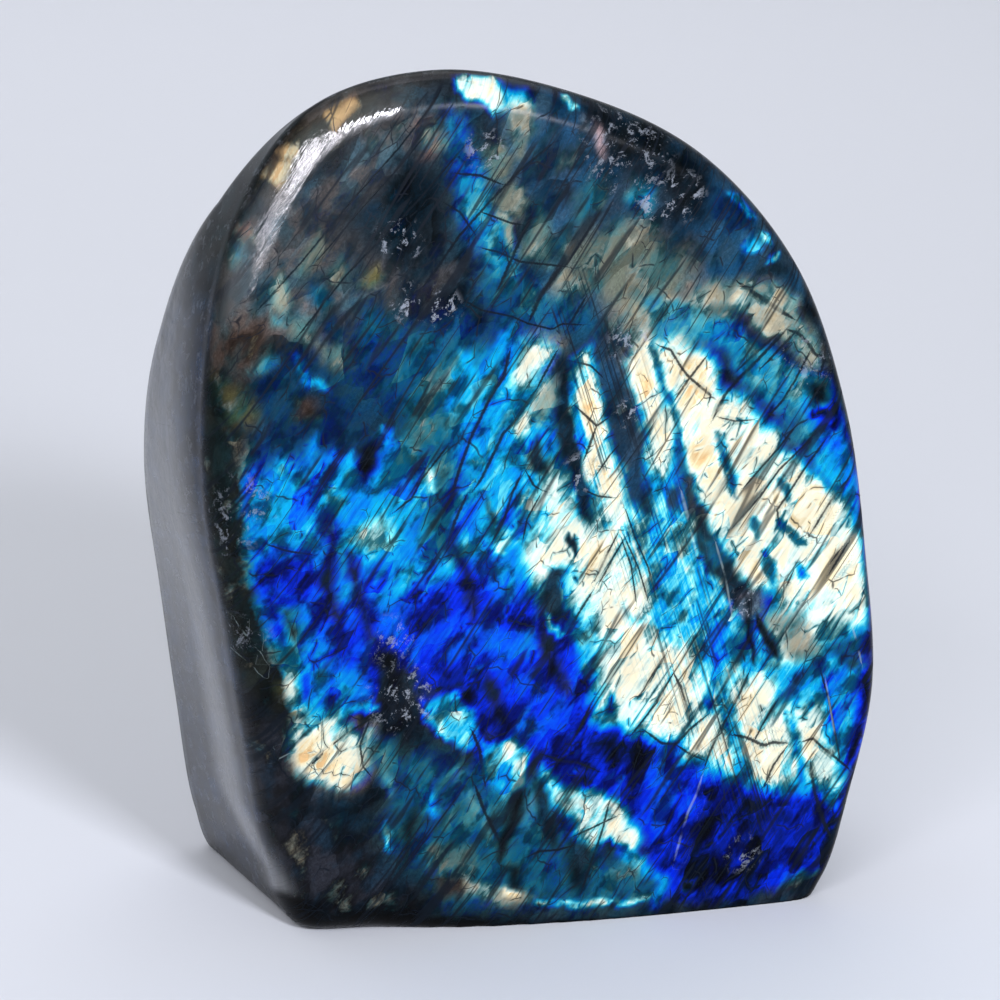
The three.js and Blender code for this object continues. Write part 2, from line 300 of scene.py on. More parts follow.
# Where the paints lie, in millimetres across and up the face, painted in this order: the paint, the
# softness of its border and the corners of its patch. With a last number the points are a band's
# middle line instead, and the number is half its width.
PATCHES = [
    # Ground tones
    ("moss", 4, [(-66, 55), (-53, 60), (-52, 90), (-50, 112), (-47, 132), (-50, 150), (-60, 150),
        (-68, 120)]),
    ("dusk", 6, [(-56, 118), (-54, 140), (-40, 160), (-20, 168), (-12, 160), (-14, 132), (-30, 122),
        (-48, 118)]),
    ("steel", 5, [(-2, 166), (20, 168), (44, 150), (58, 128), (44, 124), (28, 130), (14, 122), (8, 140),
        (0, 150)]),
    ("dim blue", 5, [(-52, 118), (-30, 124), (-10, 124), (-8, 100), (-18, 84), (-34, 86), (-54, 100)]),
    ("dim azure", 4, [(-30, 122), (-8, 126), (-2, 118), (-10, 92), (-24, 96), (-34, 108)]),
    ("azure", 5, [(-55, 96), (-36, 102), (-20, 100), (-6, 104), (2, 92), (4, 70), (-10, 56), (-28, 62),
        (-44, 50), (-56, 66)]),
    ("azure", 4, [(-10, 112), (2, 124), (10, 104), (6, 84), (2, 66), (-5, 64), (-10, 84)]),
    ("teal", 4, [(-22, 112), (-10, 116), (-10, 96), (-14, 78), (-20, 84), (-24, 98)]),
    ("turquoise", 6, [(2, 96), (30, 100), (40, 82), (48, 64), (72, 60), (73, 30), (64, 22), (44, 26),
        (28, 38), (14, 44), (12, 62), (2, 72)]),
    ("teal", 4, [(-24, 40), (-12, 38), (4, 30), (12, 18), (30, 6), (28, 2), (-16, 4), (-30, 22)]),
    ("umber", 3, [(-60, 125), (-48, 127), (-46, 119), (-54, 115), (-60, 116)]),
    ("olive", 2.5, [(-58, 114), (-52, 113), (-51, 107), (-56, 103), (-59, 107)]),
    ("slate", 4, [(8, 164), (24, 166), (46, 150), (40, 128), (30, 132), (24, 118), (15, 120), (13, 138),
        (5, 150)]),
    ("ink", 4, [(-47, 152), (-30, 164), (-14, 166), (-12, 150), (-13, 140), (-20, 132), (-30, 140),
        (-42, 145)]),
    # A painted sheen: lighter grey just inside the upper left edge's highlight, standing in for its soft
    # falloff.
    ("dusk", 2.5, [(-49, 142), (-38, 152), (-28, 160), (-18, 166), (-14, 162), (-26, 150), (-38, 141),
        (-46, 136)]),
    ("black", 3, [(14, 167), (30, 161), (42, 151), (40, 141), (33, 142), (30, 149), (20, 154)]),
    ("black", 2, [(-22, 155), (-16, 156), (-14.5, 150), (-13, 143), (-19, 134), (-22, 138), (-20, 146)]),
    ("basalt", 4, [(-62, 60), (-50, 52), (-45, 40), (-40, 30), (-32, 20), (-26, 14), (-20, 8), (-20, 2),
        (-60, 2), (-66, 40)]),
    # Upper left
    ("amber", 3, [(-51, 158), (-37, 168), (-26, 170), (-25, 163), (-38, 156), (-45, 149), (-52, 150)]),
    ("gold", 1, [(-35, 164), (-28.5, 167), (-28, 166), (-33, 162), (-34.5, 163)]),
    ("gold", 0.8, [(-44.5, 157), (-40.5, 158.5), (-40.5, 156.5), (-44, 156.5)]),
    ("gold", 1, [(-47.5, 153), (-45, 155.5), (-41.5, 156), (-44, 153), (-45.5, 151), (-47, 152.5)]),
    ("clay", 1.5, [(-52.5, 143), (-50.5, 143.5), (-49.5, 141), (-52.5, 140.5)]),
    ("dim cyan", 1.5, [(-54.5, 139), (-52, 139.5), (-51.5, 137), (-53.5, 135.5)]),
    ("ash", 1, [(-39.5, 140), (-37.5, 142.5), (-36, 139.5), (-38.5, 136), (-43, 134.5), (-41.5, 137)]),
    ("ash", 1, [(-36, 135.5), (-33.5, 137.5), (-32.5, 135), (-34, 132), (-37, 133.5)]),
    ("olive", 1, [(-30.5, 133), (-28.5, 135.5), (-26, 136), (-25, 133.5), (-28, 131.5)]),
    ("dim azure", 1, [(-40.5, 130.5), (-39.5, 132.5), (-36, 131), (-35, 129.5), (-37, 127.5),
        (-39.5, 128)]),
    ("linen", 1, [(-47.5, 132), (-45.5, 134.5), (-43, 131), (-44.5, 128), (-47.5, 128.5)]),
    ("dim cyan", 1, [(-47.5, 128), (-45, 127), (-45, 125), (-47, 126)]),
    ("ash", 1.5, [(-44, 126.5), (-39.5, 125.5), (-39.5, 121), (-43, 121.5)]),
    ("dim azure", 1, [(-37, 124), (-35, 126.5), (-33.5, 123.5), (-34.5, 122)]),
    ("teal", 2.5, [(-31, 129), (-23, 127), (-22, 120), (-30, 118)]),
    # Upper middle
    ("soft azure", 3, [(-11, 165.5), (-12, 162), (-12.5, 158), (-12, 153), (-10.5, 147.5), (-11, 143),
        (-9.5, 141), (-8, 138), (-6, 135), (-6, 130), (-4.5, 128), (-0.5, 125.5), (4, 124), (6, 125.5),
        (6, 129), (3, 131.5), (1.5, 135), (1, 137.5), (-0.5, 141.5), (-2, 145.5), (-3, 149.5),
        (-4, 153.5), (-6, 156.5), (-7, 159.5), (-8, 164.5)]),
    ("soft cobalt", 2.5, [(-9.5, 156.5), (-6, 156), (-4.5, 153), (-3.5, 149.5), (-4.5, 147.5),
        (-6.5, 145), (-8.5, 141.5), (-9.5, 147.5)]),
    ("soft cobalt", 2.5, [(-4.5, 143), (-2, 143.5), (0.5, 138), (-1.5, 135), (-4, 138), (-5.5, 140)]),
    ("cream", 1, [(-8, 171), (-1, 170), (0, 166), (-3, 164), (-6, 165.5), (-9, 168)]),
    ("ice", 2, [(0, 169), (4.5, 167.5), (5, 164.5), (2, 162.5), (0, 165)]),
    ("ash", 2, [(0, 165), (5, 164), (5.5, 160), (1, 160)]),
    ("ash", 1.5, [(-5.5, 157.5), (-1, 158.5), (1.5, 155), (0, 151), (-3.5, 149.5), (-4, 153)]),
    ("ash", 1, [(1.5, 158.5), (4.5, 159), (3.5, 154.5), (2, 155)]),
    ("clay", 2, [(-17, 162), (-12.5, 163), (-13, 158), (-17, 157)]),
    ("ash", 1.2, [(-3, 147), (0, 150.5), (3, 149.5), (4.5, 146), (2.5, 142.5), (-1.5, 144.5)]),
    ("ash", 1.5, [(1.5, 136), (4, 141.5), (6, 146), (9, 140), (8.5, 134.5), (2, 134.5)]),
    ("linen", 0.8, [(-2, 144.5), (1, 142.5), (0.5, 136), (-0.5, 138)]),
    ("linen", 1, [(4.5, 124.5), (7, 130), (10.5, 134), (13.5, 131), (12.5, 125.5), (10, 123),
        (7.5, 122.5)]),
    ("teal", 2, [(13, 143), (15, 150), (18, 152), (19, 146), (16, 141)]),
    ("soft azure", 1.5, [(23.5, 146.5), (26, 149), (29, 147.5), (28, 144), (24.5, 144)]),
    ("dim blue", 1.5, [(20, 144), (25, 144.5), (26, 141), (22, 138.5), (20, 140)]),
    ("dim azure", 1, [(21, 136), (24.5, 140.5), (28.5, 144.5)], 1),
    ("ice", 0.6, [(12, 166.5), (14.5, 163.5)], 0.6),
    ("mauve", 1, [(16, 162), (18.5, 158), (19.5, 155.5)], 1.1),
    ("dusk", 2, [(27, 138), (37, 137.5), (38, 132), (28, 131)]),
    ("linen", 4, [(20, 128), (30, 131), (42, 126), (40, 119), (31, 113), (25, 112), (22, 120)]),
    ("ash", 3, [(10, 138), (22, 142), (36, 134), (34, 127), (22, 126), (12, 128)]),
    ("dim azure", 3, [(-7, 132), (6, 132), (14, 127), (17, 121), (9, 119), (-3, 121)]),
    # Upper right
    ("dim blue", 1.2, [(42, 146.5), (43.5, 147), (46, 144.5), (49, 141.5), (49, 139.5), (45, 139),
        (41, 141)]),
    ("cyan", 0.8, [(45, 146), (47, 144.5), (49.5, 141)], 0.7),
    ("azure", 1, [(47, 135), (49, 137.5), (51, 136), (51.5, 134.5), (49.5, 134)]),
    ("ice", 0.8, [(51, 138), (53.5, 135.5)], 0.8),
    ("ice", 0.8, [(52.5, 132), (54.5, 133.5)], 0.7),
    ("ink", 1.2, [(51, 130.5), (56.5, 130)], 1.3),
    ("linen", 1.5, [(37, 125.5), (41.5, 128.5), (47, 129.5), (52, 128), (56.5, 124.5), (61.5, 118.5),
        (64.5, 113.5), (64.5, 110.5), (61.5, 110.5), (58, 113), (54.5, 116.5), (50.5, 118.5),
        (46.5, 121), (43, 124)]),
    ("linen", 1, [(52.5, 128.5), (55.5, 128), (59, 125), (58, 122.5), (56, 123.5), (53, 126)]),
    ("clay", 1.5, [(31, 127.5), (36, 128), (36, 125.5), (32.5, 126)]),
    ("dim cyan", 1.2, [(26.5, 127), (31, 127), (36.5, 125), (39, 124.5), (40, 122), (37, 120.5),
        (33, 120), (28.5, 117.5), (27.5, 123)]),
    ("ash", 1.5, [(40.5, 124.5), (44.5, 123), (45, 120.5), (41.5, 120)]),
    # Middle left
    ("amber", 2, [(-61, 108), (-57, 108.5), (-54, 102), (-57, 100)]),
    ("gold", 0.6, [(-58.5, 107), (-57.5, 105.5), (-56, 102)], 0.8),
    ("dim blue", 2, [(-51, 116), (-43, 118), (-39, 117), (-37, 112.5), (-43, 110), (-50, 109)]),
    ("dim cyan", 1, [(-53, 116.5), (-46, 117.5), (-45.5, 120), (-49.5, 119.5)]),
    ("azure", 1, [(-43, 118.5), (-40.5, 114.5), (-37, 112)], 0.7),
    ("ash", 1.5, [(-38, 121), (-32, 120.5), (-32, 117), (-36, 116)]),
    ("dim blue", 4, [(-52, 104), (-38, 110), (-26, 112), (-22, 104), (-30, 98), (-44, 100)]),
    ("umber", 1.5, [(-42, 110.5), (-39, 110), (-39, 106.5), (-42.5, 106.5)]),
    ("azure", 1, [(-27, 103.5), (-25, 103), (-24.5, 98), (-26.5, 97.5)]),
    ("azure", 1.2, [(-41, 99), (-39.5, 103)], 0.7),
    ("azure", 1, [(-46.5, 99), (-45, 96.5)], 0.8),
    ("azure", 1, [(-53.5, 93.5), (-51.5, 97)], 0.9),
    ("azure", 1, [(-40.5, 96), (-38, 99.5), (-36, 101), (-37.5, 95.5)]),
    ("sky", 1, [(-37.5, 94.5), (-36, 98), (-33, 100), (-32.5, 96), (-35, 94)]),
    ("sky", 1, [(-39, 93), (-36.5, 94), (-34.5, 91), (-35, 89), (-37.5, 89.5), (-39, 91)]),
    ("azure", 1.5, [(-49, 91), (-46, 94), (-43, 93), (-41.5, 90), (-38.5, 86), (-38, 82), (-40, 80.5),
        (-47, 80), (-53, 78), (-55, 80), (-54, 84), (-50, 88)]),
    ("cobalt", 2, [(-52, 83), (-47, 82.5), (-41, 82), (-41, 80), (-48, 80), (-54, 79)]),
    ("cyan", 0.8, [(-41.5, 84), (-40, 87), (-38, 84), (-38, 82.5), (-41, 81.5)]),
    ("royal", 2, [(-55, 79), (-50, 80.5), (-41, 79), (-40, 74), (-41, 70), (-44, 64), (-47, 62.5),
        (-50, 65), (-53, 70), (-55, 75)]),
    ("azure", 1, [(-46.5, 67), (-46, 64)], 0.7),
    ("ice", 0.8, [(-36, 81), (-34.5, 81.5), (-33.5, 77), (-35, 76)]),
    ("sky", 1.5, [(-24.5, 100), (-22, 97), (-20.5, 95), (-18.5, 92), (-19, 88), (-22, 84), (-24, 79),
        (-28, 76), (-32, 79), (-33, 85), (-31.5, 88), (-30, 92), (-27, 96)]),
    ("ice", 1.5, [(-30.5, 85), (-28, 86.5), (-24.5, 86), (-24, 83), (-26, 79.5), (-29.5, 80)]),
    ("pitch", 1.5, [(-32, 100), (-29.5, 100.5), (-28.5, 96), (-30.5, 93.5), (-32, 96)]),
    ("moss", 2, [(-60, 112), (-59.5, 99), (-57.5, 82), (-55.5, 68), (-52, 57), (-47, 47)], 4.2),
    # The blue heart and its band to the lower right
    ("royal", 3, [(-42.5, 67), (-36, 67), (-30, 70), (-20, 72), (-8, 76), (0, 75), (3, 66), (4.5, 60),
        (10, 60), (13, 55), (15, 51), (14.5, 45), (17, 41), (22, 40), (30, 36), (36, 31), (45, 26),
        (56, 23.5), (62, 23), (66, 18), (64, 9), (58, 4), (42, 2), (32, 3.5), (27, 10), (25, 17),
        (20, 25), (13, 29.5), (5, 33), (1, 38), (-4, 40), (-8, 43), (-13, 51), (-20, 50), (-21, 55),
        (-28, 58), (-29, 50), (-41, 50), (-42.5, 59)]),
    ("deep blue", 4, [(37, 28), (45, 25.5), (56, 23), (62, 22.5), (65.5, 18), (64, 9), (58, 4), (42, 2),
        (34, 4), (31, 10), (33, 18)]),
    ("navy", 2.5, [(45, 25), (50, 25), (51, 12), (48, 6), (45, 14)]),
    ("navy", 2.5, [(33.5, 16), (37, 20), (41, 8), (37, 3), (33.5, 5)]),
    ("azure", 1.5, [(-42, 67), (-38, 60), (-38, 50.5), (-41.5, 51), (-41.5, 58)]),
    ("azure", 2, [(-36, 58), (-31, 58), (-30, 50), (-37, 50)]),
    ("cobalt", 2, [(-5.5, 63), (-0.5, 61), (3.5, 60.5), (4, 57), (-0.5, 54.5), (-6.5, 57.5),
        (-7.5, 58.5)]),
    ("cobalt", 2, [(-6, 79), (-1.5, 79), (0, 75), (0.5, 69), (-3, 68), (-6, 71), (-7.5, 75)]),
    # Middle stripes
    ("azure", 1.2, [(-10, 118.5), (-13.5, 109.5), (-12, 102.5), (-12, 98), (-9.5, 101), (-7.5, 104),
        (-8, 108), (-8, 118)]),
    ("dim azure", 1, [(-8.5, 110), (-5.5, 112), (-5, 108.5), (-7, 105.5)]),
    ("sky", 1, [(-3, 120.5), (-5.5, 113), (-10.5, 99.5), (-10.5, 96), (-7, 95.5), (-4.5, 101),
        (-1.5, 112.5), (0, 122.5)]),
    ("ice", 1, [(-8.5, 96.5), (-7, 96), (-7, 94.5)]),
    ("dim azure", 1, [(-2, 106.5), (-0.5, 106), (-3, 100.5), (-4.5, 98.5)]),
    ("azure", 1.2, [(-0.5, 100.5), (1.5, 98), (0.5, 92), (-1, 88), (-4, 86), (-6, 90.5), (-6, 94),
        (-2, 99)]),
    ("sky", 1, [(-4.5, 96.5), (-1, 97), (-1, 92), (-4.5, 91.5)]),
    ("sky", 1, [(-8, 90), (-6, 88.5), (-5.5, 84), (-7, 82.5), (-9, 86)]),
    ("black", 1.2, [(-6, 90), (-4.5, 86.5), (-4, 83.5), (-5.5, 84)]),
    ("ink", 1.4, [(5, 101), (6, 97), (8, 94), (7.5, 91), (5.5, 93), (3, 94), (2.5, 97)]),
    ("azure", 1, [(4.5, 104), (8, 104.5), (7, 101.5), (6, 100)]),
    ("cyan", 1, [(2.5, 93.5), (6.5, 92), (5.5, 90), (3, 90), (1, 91.5)]),
    ("white", 1, [(2, 105.5), (3.5, 103), (4, 101.5), (1, 100), (-1, 102)]),
    ("white", 1, [(1, 89.5), (3, 89), (4.5, 88), (4, 85.5), (1.5, 85), (0.5, 87.5)]),
    ("ice", 1, [(-18.5, 96), (-17, 95.5), (-16.5, 91), (-18, 91.5)]),
    ("mist", 2.5, [(1.5, 120.5), (5, 120.5), (8.5, 118.5), (9.5, 117), (8, 114), (5.5, 111),
        (1.5, 110.5), (0, 114.5)]),
    ("linen", 2, [(5.5, 111), (9, 112), (9.5, 107.5), (8, 105), (6, 102.5), (3.5, 104), (2.5, 106.5),
        (4, 109)]),
    # The pale fields
    ("cream", 3.4, [(5.5, 90), (8.5, 92.5), (10, 89.5), (12, 88.5), (14, 82.5), (15.5, 80), (19.5, 80),
        (21, 77), (23, 73), (26, 69), (26.5, 65.5), (28, 60), (28.5, 42), (25, 42), (22.5, 40.5),
        (21, 44), (19, 47), (18, 45.5), (18, 42), (16, 43), (15, 46), (16, 50.5), (15.5, 54.5),
        (17.5, 57.5), (16, 60.5), (14.5, 64.5), (12, 63), (10, 63.5), (9, 68), (7, 74), (5, 69),
        (2.5, 74), (2.5, 78), (5, 80.5), (6, 84), (5, 88)]),
    ("white", 1, [(-2.5, 84.5), (-1, 82.5), (-0.5, 79.5), (-3, 77.5), (-5, 79.5), (-4, 82)]),
    ("ink", 1.5, [(6.5, 74), (10, 73), (8.5, 71), (9, 67.5), (9.5, 63.5), (5.5, 64), (4, 68),
        (5, 71.5)]),
    ("ice", 0.8, [(5, 64), (6, 64), (7.5, 62), (9, 61.5), (9, 60.5), (7, 60), (5.5, 61.5)]),
    ("cyan", 1.5, [(9, 63), (12, 61), (16, 63.5), (14, 57), (13.5, 52), (12, 56)]),
    ("cream", 2.2, [(12, 115.5), (16, 118), (17.5, 113.5), (18.5, 109), (19, 105), (20, 100.5), (21, 97),
        (21.5, 91.5), (22.5, 85.5), (23, 82), (20.5, 81.5), (19.5, 84), (17, 86), (15.5, 90), (14, 95.5),
        (13.5, 101), (12.5, 106), (12, 111)]),
    ("sand", 1.5, [(13, 107), (18, 106), (18, 101), (14.5, 100)]),
    ("sand", 1.5, [(16.5, 95), (20, 96), (21, 88), (17.5, 88)]),
    ("cream", 3, [(28.5, 117.5), (33, 119), (39.5, 115.5), (43.5, 108.5), (46.5, 107.5), (51, 102.5),
        (55.5, 97), (59, 93), (64.5, 88), (68.5, 83), (72.5, 76), (73, 63), (72, 57), (58, 57),
        (54, 64.5), (49, 66.5), (45.5, 69.5), (42.5, 73.5), (39, 79.5), (35.5, 86.5), (33.5, 92.5),
        (29.5, 102), (28.5, 108)]),
    ("sand", 2.5, [(33, 115), (39, 113), (40, 103), (34, 103)]),
    ("sand", 2, [(33, 101), (37, 101), (42, 92), (42, 84), (38.5, 86), (35, 94)]),
    ("cream", 2.2, [(23, 114), (27.5, 118), (30, 111), (31.5, 103), (32.5, 95), (30, 90), (27.5, 93),
        (26, 100), (24.5, 107)]),
    ("sand", 1.5, [(26, 112), (29, 110), (30, 100), (27.5, 100)]),
    ("cream", 3.4, [(20, 60.5), (29, 58.5), (30.5, 55.5), (36, 54.5), (37.5, 53), (39, 48.5),
        (37.5, 45.5), (38.5, 42.5), (42, 40.5), (43.5, 36.5), (45.5, 31.5), (44.5, 28), (39.5, 28.5),
        (37, 31), (35, 32.5), (32.5, 35), (30.5, 35.5), (25.5, 39), (20, 42.5)]),
    ("cream", 3.4, [(45.5, 47), (50, 48), (52, 46.5), (53.5, 43.5), (55, 41), (58, 39), (61.5, 40.5),
        (63.5, 36), (66.5, 30.5), (67, 28), (67.5, 24), (66.5, 22), (63.5, 23), (61.5, 24.5), (58, 24.5),
        (54.5, 24), (51.5, 25), (49, 26), (47.5, 26.5), (47, 29), (45.5, 33), (44, 38), (44, 43.5)]),
    ("azure", 1, [(19, 48), (20, 43.5)], 0.9),
    ("cyan", 1.5, [(20, 66), (24, 62), (28, 64), (29, 60)], 1),
    # Wedges, stripes and dips in the pale fields
    ("slate", 2, [(17.5, 119), (20.5, 120), (22, 115), (23.5, 107.5), (25.5, 101.5), (26, 96.5),
        (26.5, 93), (27, 87.5), (27.5, 82), (24.5, 83), (22.5, 87), (21.5, 92.5), (20.5, 99),
        (19.5, 105), (19, 110.5), (17, 116)]),
    ("ink", 1.2, [(10, 118), (11, 116), (11.5, 110), (12.5, 105), (13, 100), (13.5, 96), (14.5, 90.5),
        (15, 83), (14.5, 81), (13, 84.5), (12, 90.5), (9, 97), (8.5, 103), (8.5, 108.5), (9.5, 114)]),
    ("azure", 0.8, [(12, 112), (12.5, 106), (13, 100), (14, 97)], 0.7),
    ("teal", 0.8, [(28.5, 118.5), (31, 110), (32.5, 103), (33.5, 96)], 0.6),
    ("soft azure", 1.5, [(33, 120), (38, 123), (43.5, 121.5), (48, 118.5), (53.5, 115.5), (58.5, 111),
        (63, 109.5), (67.5, 101.5), (69.5, 95), (71, 86), (71.5, 75.5), (70, 80), (67, 86), (61.5, 91),
        (58.5, 96), (54, 101.5), (49.5, 106), (46.5, 110.5), (43, 114.5), (38, 118)]),
    ("soft azure", 2, [(36, 121), (43, 119), (48, 114), (50, 110), (44, 115)]),
    ("dim azure", 2, [(55, 104), (60, 102), (60, 96), (56, 98)]),
    ("sky", 1.5, [(63, 93), (67, 94), (70, 87), (70.5, 79), (66.5, 86.5), (62, 90.5)]),
    ("cobalt", 3, [(64, 108), (66.5, 102), (69, 93), (70.5, 82), (69.5, 82), (67, 92), (62, 97),
        (60, 104)]),
    ("black", 1.2, [(60.5, 107.5), (64.5, 107.5), (64.5, 103), (61, 103)]),
    ("navy", 1, [(60.5, 102), (63.5, 101)], 0.7),
    ("navy", 1, [(65.5, 103.5), (66, 98.5)], 0.8),
    ("dim azure", 1.2, [(32, 100), (33, 98), (34.5, 93.5), (36, 90), (36.5, 89), (34, 89),
        (32.5, 93.5)]),
    ("ink", 1.2, [(35, 91), (36, 88), (37.5, 84), (39.5, 80.5), (42, 76), (44.5, 71.5), (47, 68),
        (49, 65), (47, 61), (44.5, 63), (41.5, 68), (38.5, 72), (36.5, 77), (35, 83), (34, 88)]),
    ("dusk", 1, [(35, 90), (37, 86), (38.5, 82), (36, 82.5)]),
    ("teal", 1.2, [(37.5, 79), (41, 77), (43, 72.5), (40, 71.5)]),
    ("mauve", 1.5, [(45.5, 66), (49.5, 66.5), (50, 62), (46, 61)]),
    ("sky", 1, [(30.5, 83), (34, 83), (36.5, 75), (38.5, 72.5), (34.5, 73.5), (31.5, 76)]),
    ("slate", 1.2, [(30.5, 88), (33, 88.5), (33, 84), (31, 84)]),
    ("dim azure", 1, [(41.5, 99.5), (42.5, 94.5), (44, 88.5), (45.5, 86)], 0.9),
    ("dim azure", 0.8, [(54, 88.5), (56, 84.5)], 1.2),
    ("dim azure", 0.8, [(48.5, 81), (49.5, 77)], 1.2),
    ("azure", 0.7, [(51, 74.5), (52.5, 68)], 1.3),
    ("sky", 0.7, [(54, 80.5), (59, 75)], 0.9),
    ("azure", 0.7, [(57.5, 71), (59.5, 69)], 1.1),
    ("ink", 0.7, [(10.5, 81.5), (11, 79), (12, 76)], 0.8),
    ("ink", 0.5, [(11.5, 71.5), (12, 70.5)], 0.5),
    ("cyan", 2.5, [(26.5, 80), (29.5, 79.5), (30.5, 76.5), (29.5, 70), (33.5, 67), (38.5, 63.5),
        (41.5, 60.5), (42, 56), (40, 53), (37.5, 56), (33.5, 56.5), (31.5, 60), (29, 63.5), (27.5, 73)]),
    ("azure", 1.5, [(42, 59.5), (45.5, 57.5), (47.5, 53.5), (49, 50), (47.5, 49.5), (43.5, 52.5),
        (42.5, 55.5)]),
    ("azure", 1.2, [(41.5, 59.5), (41, 53.5), (42, 47), (43, 42.5), (43.5, 37.5), (45.5, 31),
        (47, 25.5)], 1.3),
    ("azure", 0.8, [(38.5, 44), (41, 42)], 1.2),
    ("azure", 1, [(55, 40), (56.5, 35.5), (57.5, 30.5), (59, 25), (59.5, 23)], 0.8),
    # Right, between the pale fields
    ("linen", 2, [(50, 62), (58, 61), (63, 52), (58, 49.5), (54, 52)]),
    ("black", 1.5, [(61, 51), (63.5, 51), (63, 48), (61.5, 48)]),
    ("black", 0.8, [(49, 61), (51.5, 57), (53.5, 51.5)], 0.9),
    ("black", 0.8, [(47, 66), (47.5, 58), (49, 51.5)], 0.7),
    ("teal", 1.5, [(64, 54.5), (70.5, 55), (72, 48), (69.5, 46.5), (66.5, 49), (63.5, 52.5)]),
    ("sky", 1.5, [(50.5, 50), (54.5, 49), (58, 48.5), (61.5, 47.5), (62.5, 42.5), (59.5, 40.5),
        (55.5, 42.5), (52.5, 46)]),
    ("azure", 1.5, [(63, 49), (67, 48.5), (72.5, 46.5), (72.5, 41), (69.5, 32), (67, 29), (65, 33.5),
        (63.5, 41.5)]),
    ("navy", 1.5, [(72.5, 47), (71, 38), (69, 29)], 1.2),
    ("azure", 1, [(63.5, 23), (66.5, 21.5), (65.5, 17.5)]),
    # Speckled column and the pale knot at the lower left
    ("pitch", 1.6, [(-28.5, 60), (-25.5, 59.5), (-24.5, 54), (-21, 50), (-20.5, 45.5), (-20.5, 41),
        (-24.5, 38), (-27.5, 42), (-28.5, 46), (-29.5, 49), (-28, 54.5)]),
    ("pitch", 2.4, [(-38, 88), (-37, 80), (-38, 74), (-36, 66)], 1),
    ("pitch", 2.4, [(-33.5, 80), (-32, 72), (-30.5, 66), (-28.5, 61.5)], 0.8),
    ("moss", 1.2, [(-45, 70), (-43, 60)], 1.3),
    ("pitch", 2.4, [(-13, 80), (-10.5, 73), (-9.5, 65.5)], 0.6),
    ("pitch", 2.4, [(4.5, 60), (7.5, 52.5), (10.5, 48)], 0.9),
    ("pitch", 2.4, [(-6.5, 53), (-5, 47), (-3.5, 43)], 0.9),
    ("navy", 2, [(15, 39), (20.5, 40), (23, 37.5), (28.5, 36), (24.5, 32.5), (20, 33), (17.5, 35.5)]),
    ("white", 0.8, [(-46, 57.5), (-44.5, 56.5), (-44, 53), (-43.5, 51), (-45, 50), (-46.5, 52)]),
    ("olive", 1, [(-48, 53.5), (-46.5, 50.5), (-44.5, 47), (-44, 43.5)], 0.8),
    ("sky", 1, [(-45, 49.5), (-41, 48.5), (-37.5, 49.5), (-32.5, 48.5), (-29, 48)], 1.5),
    ("mist", 2, [(-44, 47), (-41, 47.5), (-38.5, 48.5), (-36, 47.5), (-33, 44), (-32, 42), (-31.5, 44),
        (-29, 44), (-28.5, 41.5), (-30, 38), (-30.5, 35.5), (-33, 32.5), (-35.5, 30.5), (-37.5, 32.5),
        (-41, 33.5), (-42.5, 36), (-43, 40), (-44, 44)]),
    ("sand", 2.5, [(-45, 45), (-40, 46), (-37, 40), (-36, 33), (-42, 33), (-45, 38)]),
    ("gold", 2, [(-44.5, 42), (-41.5, 43), (-39, 34.5), (-43, 35)]),
    ("teal", 2, [(-31, 42), (-25, 42), (-23, 34), (-30, 33)]),
    ("ink", 2, [(-40, 32), (-33, 30), (-30, 24), (-34, 22), (-40, 28)]),
    ("dim cyan", 1, [(-28, 35), (-27, 30)], 1),
    ("ice", 0.7, [(-27.5, 24), (-27, 18.5)], 0.7),
    ("black", 1.5, [(-24, 23), (-20, 29), (-21, 25), (-24, 16)]),
    ("azure", 0.8, [(-46, 27), (-46, 25)], 0.6),
    ("dim azure", 1, [(-51.5, 39), (-51, 37.5)], 0.8),
    # Lower middle
    ("teal", 2, [(-20, 36), (-16, 33), (-12, 33), (-9, 31), (-5, 28), (-2, 27), (1, 31), (3, 33),
        (5, 27), (7, 20), (9, 17), (8, 14), (0, 15), (-2, 10), (-8, 12), (-12, 16), (-17, 16),
        (-20, 20)]),
    ("ash", 2, [(-19, 18), (-11, 18), (-11, 14), (-19, 14)]),
    ("umber", 1.5, [(-17.5, 12), (-12, 12), (-12, 8), (-17.5, 8)]),
    ("cyan", 1.2, [(-20, 49), (-18, 49.5), (-15, 50.5), (-13, 50.5), (-11.5, 48), (-9.5, 46.5),
        (-8.5, 43), (-7, 40), (-4, 39.5), (-2, 40), (0, 38.5), (2, 36.5), (-0.5, 30.5), (-3, 27.5),
        (-6, 30.5), (-8, 33), (-9, 36.5), (-9.5, 39), (-12, 39), (-14, 40), (-15.5, 40.5), (-18, 42.5),
        (-20, 45.5)]),
    ("white", 0.8, [(-16.5, 45), (-15.5, 41)], 0.6),
    ("white", 1, [(-13.5, 49.5), (-12.5, 44.5)], 1.1),
    ("white", 0.8, [(-4, 39.5), (-1.5, 39), (-2, 36), (-3, 35)]),
    ("white", 0.8, [(-2, 35), (0.5, 36.5), (1, 34), (0, 30.5), (-1.5, 29), (-2.5, 32.5)]),
    ("dim cyan", 1, [(-13, 35), (-10.5, 29), (-8, 24), (-6, 19)], 0.9),
    ("dim cyan", 1.5, [(0.5, 28), (3, 27), (2, 21), (0, 22)]),
    ("black", 0.8, [(-0.5, 28.5), (-2.5, 22.5), (-3.5, 20.5), (-5, 15)], 1),
    ("ink", 1, [(3, 30.5), (4, 26), (5.5, 21), (6.5, 17)], 1.3),
    ("azure", 1, [(-19, 30.5), (-17.5, 25.5)], 0.8),
    ("ice", 1.5, [(3.5, 34), (5.5, 32.5), (8, 30.5), (10.5, 29.5), (13.5, 29), (16.5, 27.5), (20, 25),
        (23, 21.5), (25, 16.5), (23, 13.5), (20.5, 15.5), (18, 17.5), (15, 15), (13, 16.5), (10.5, 18),
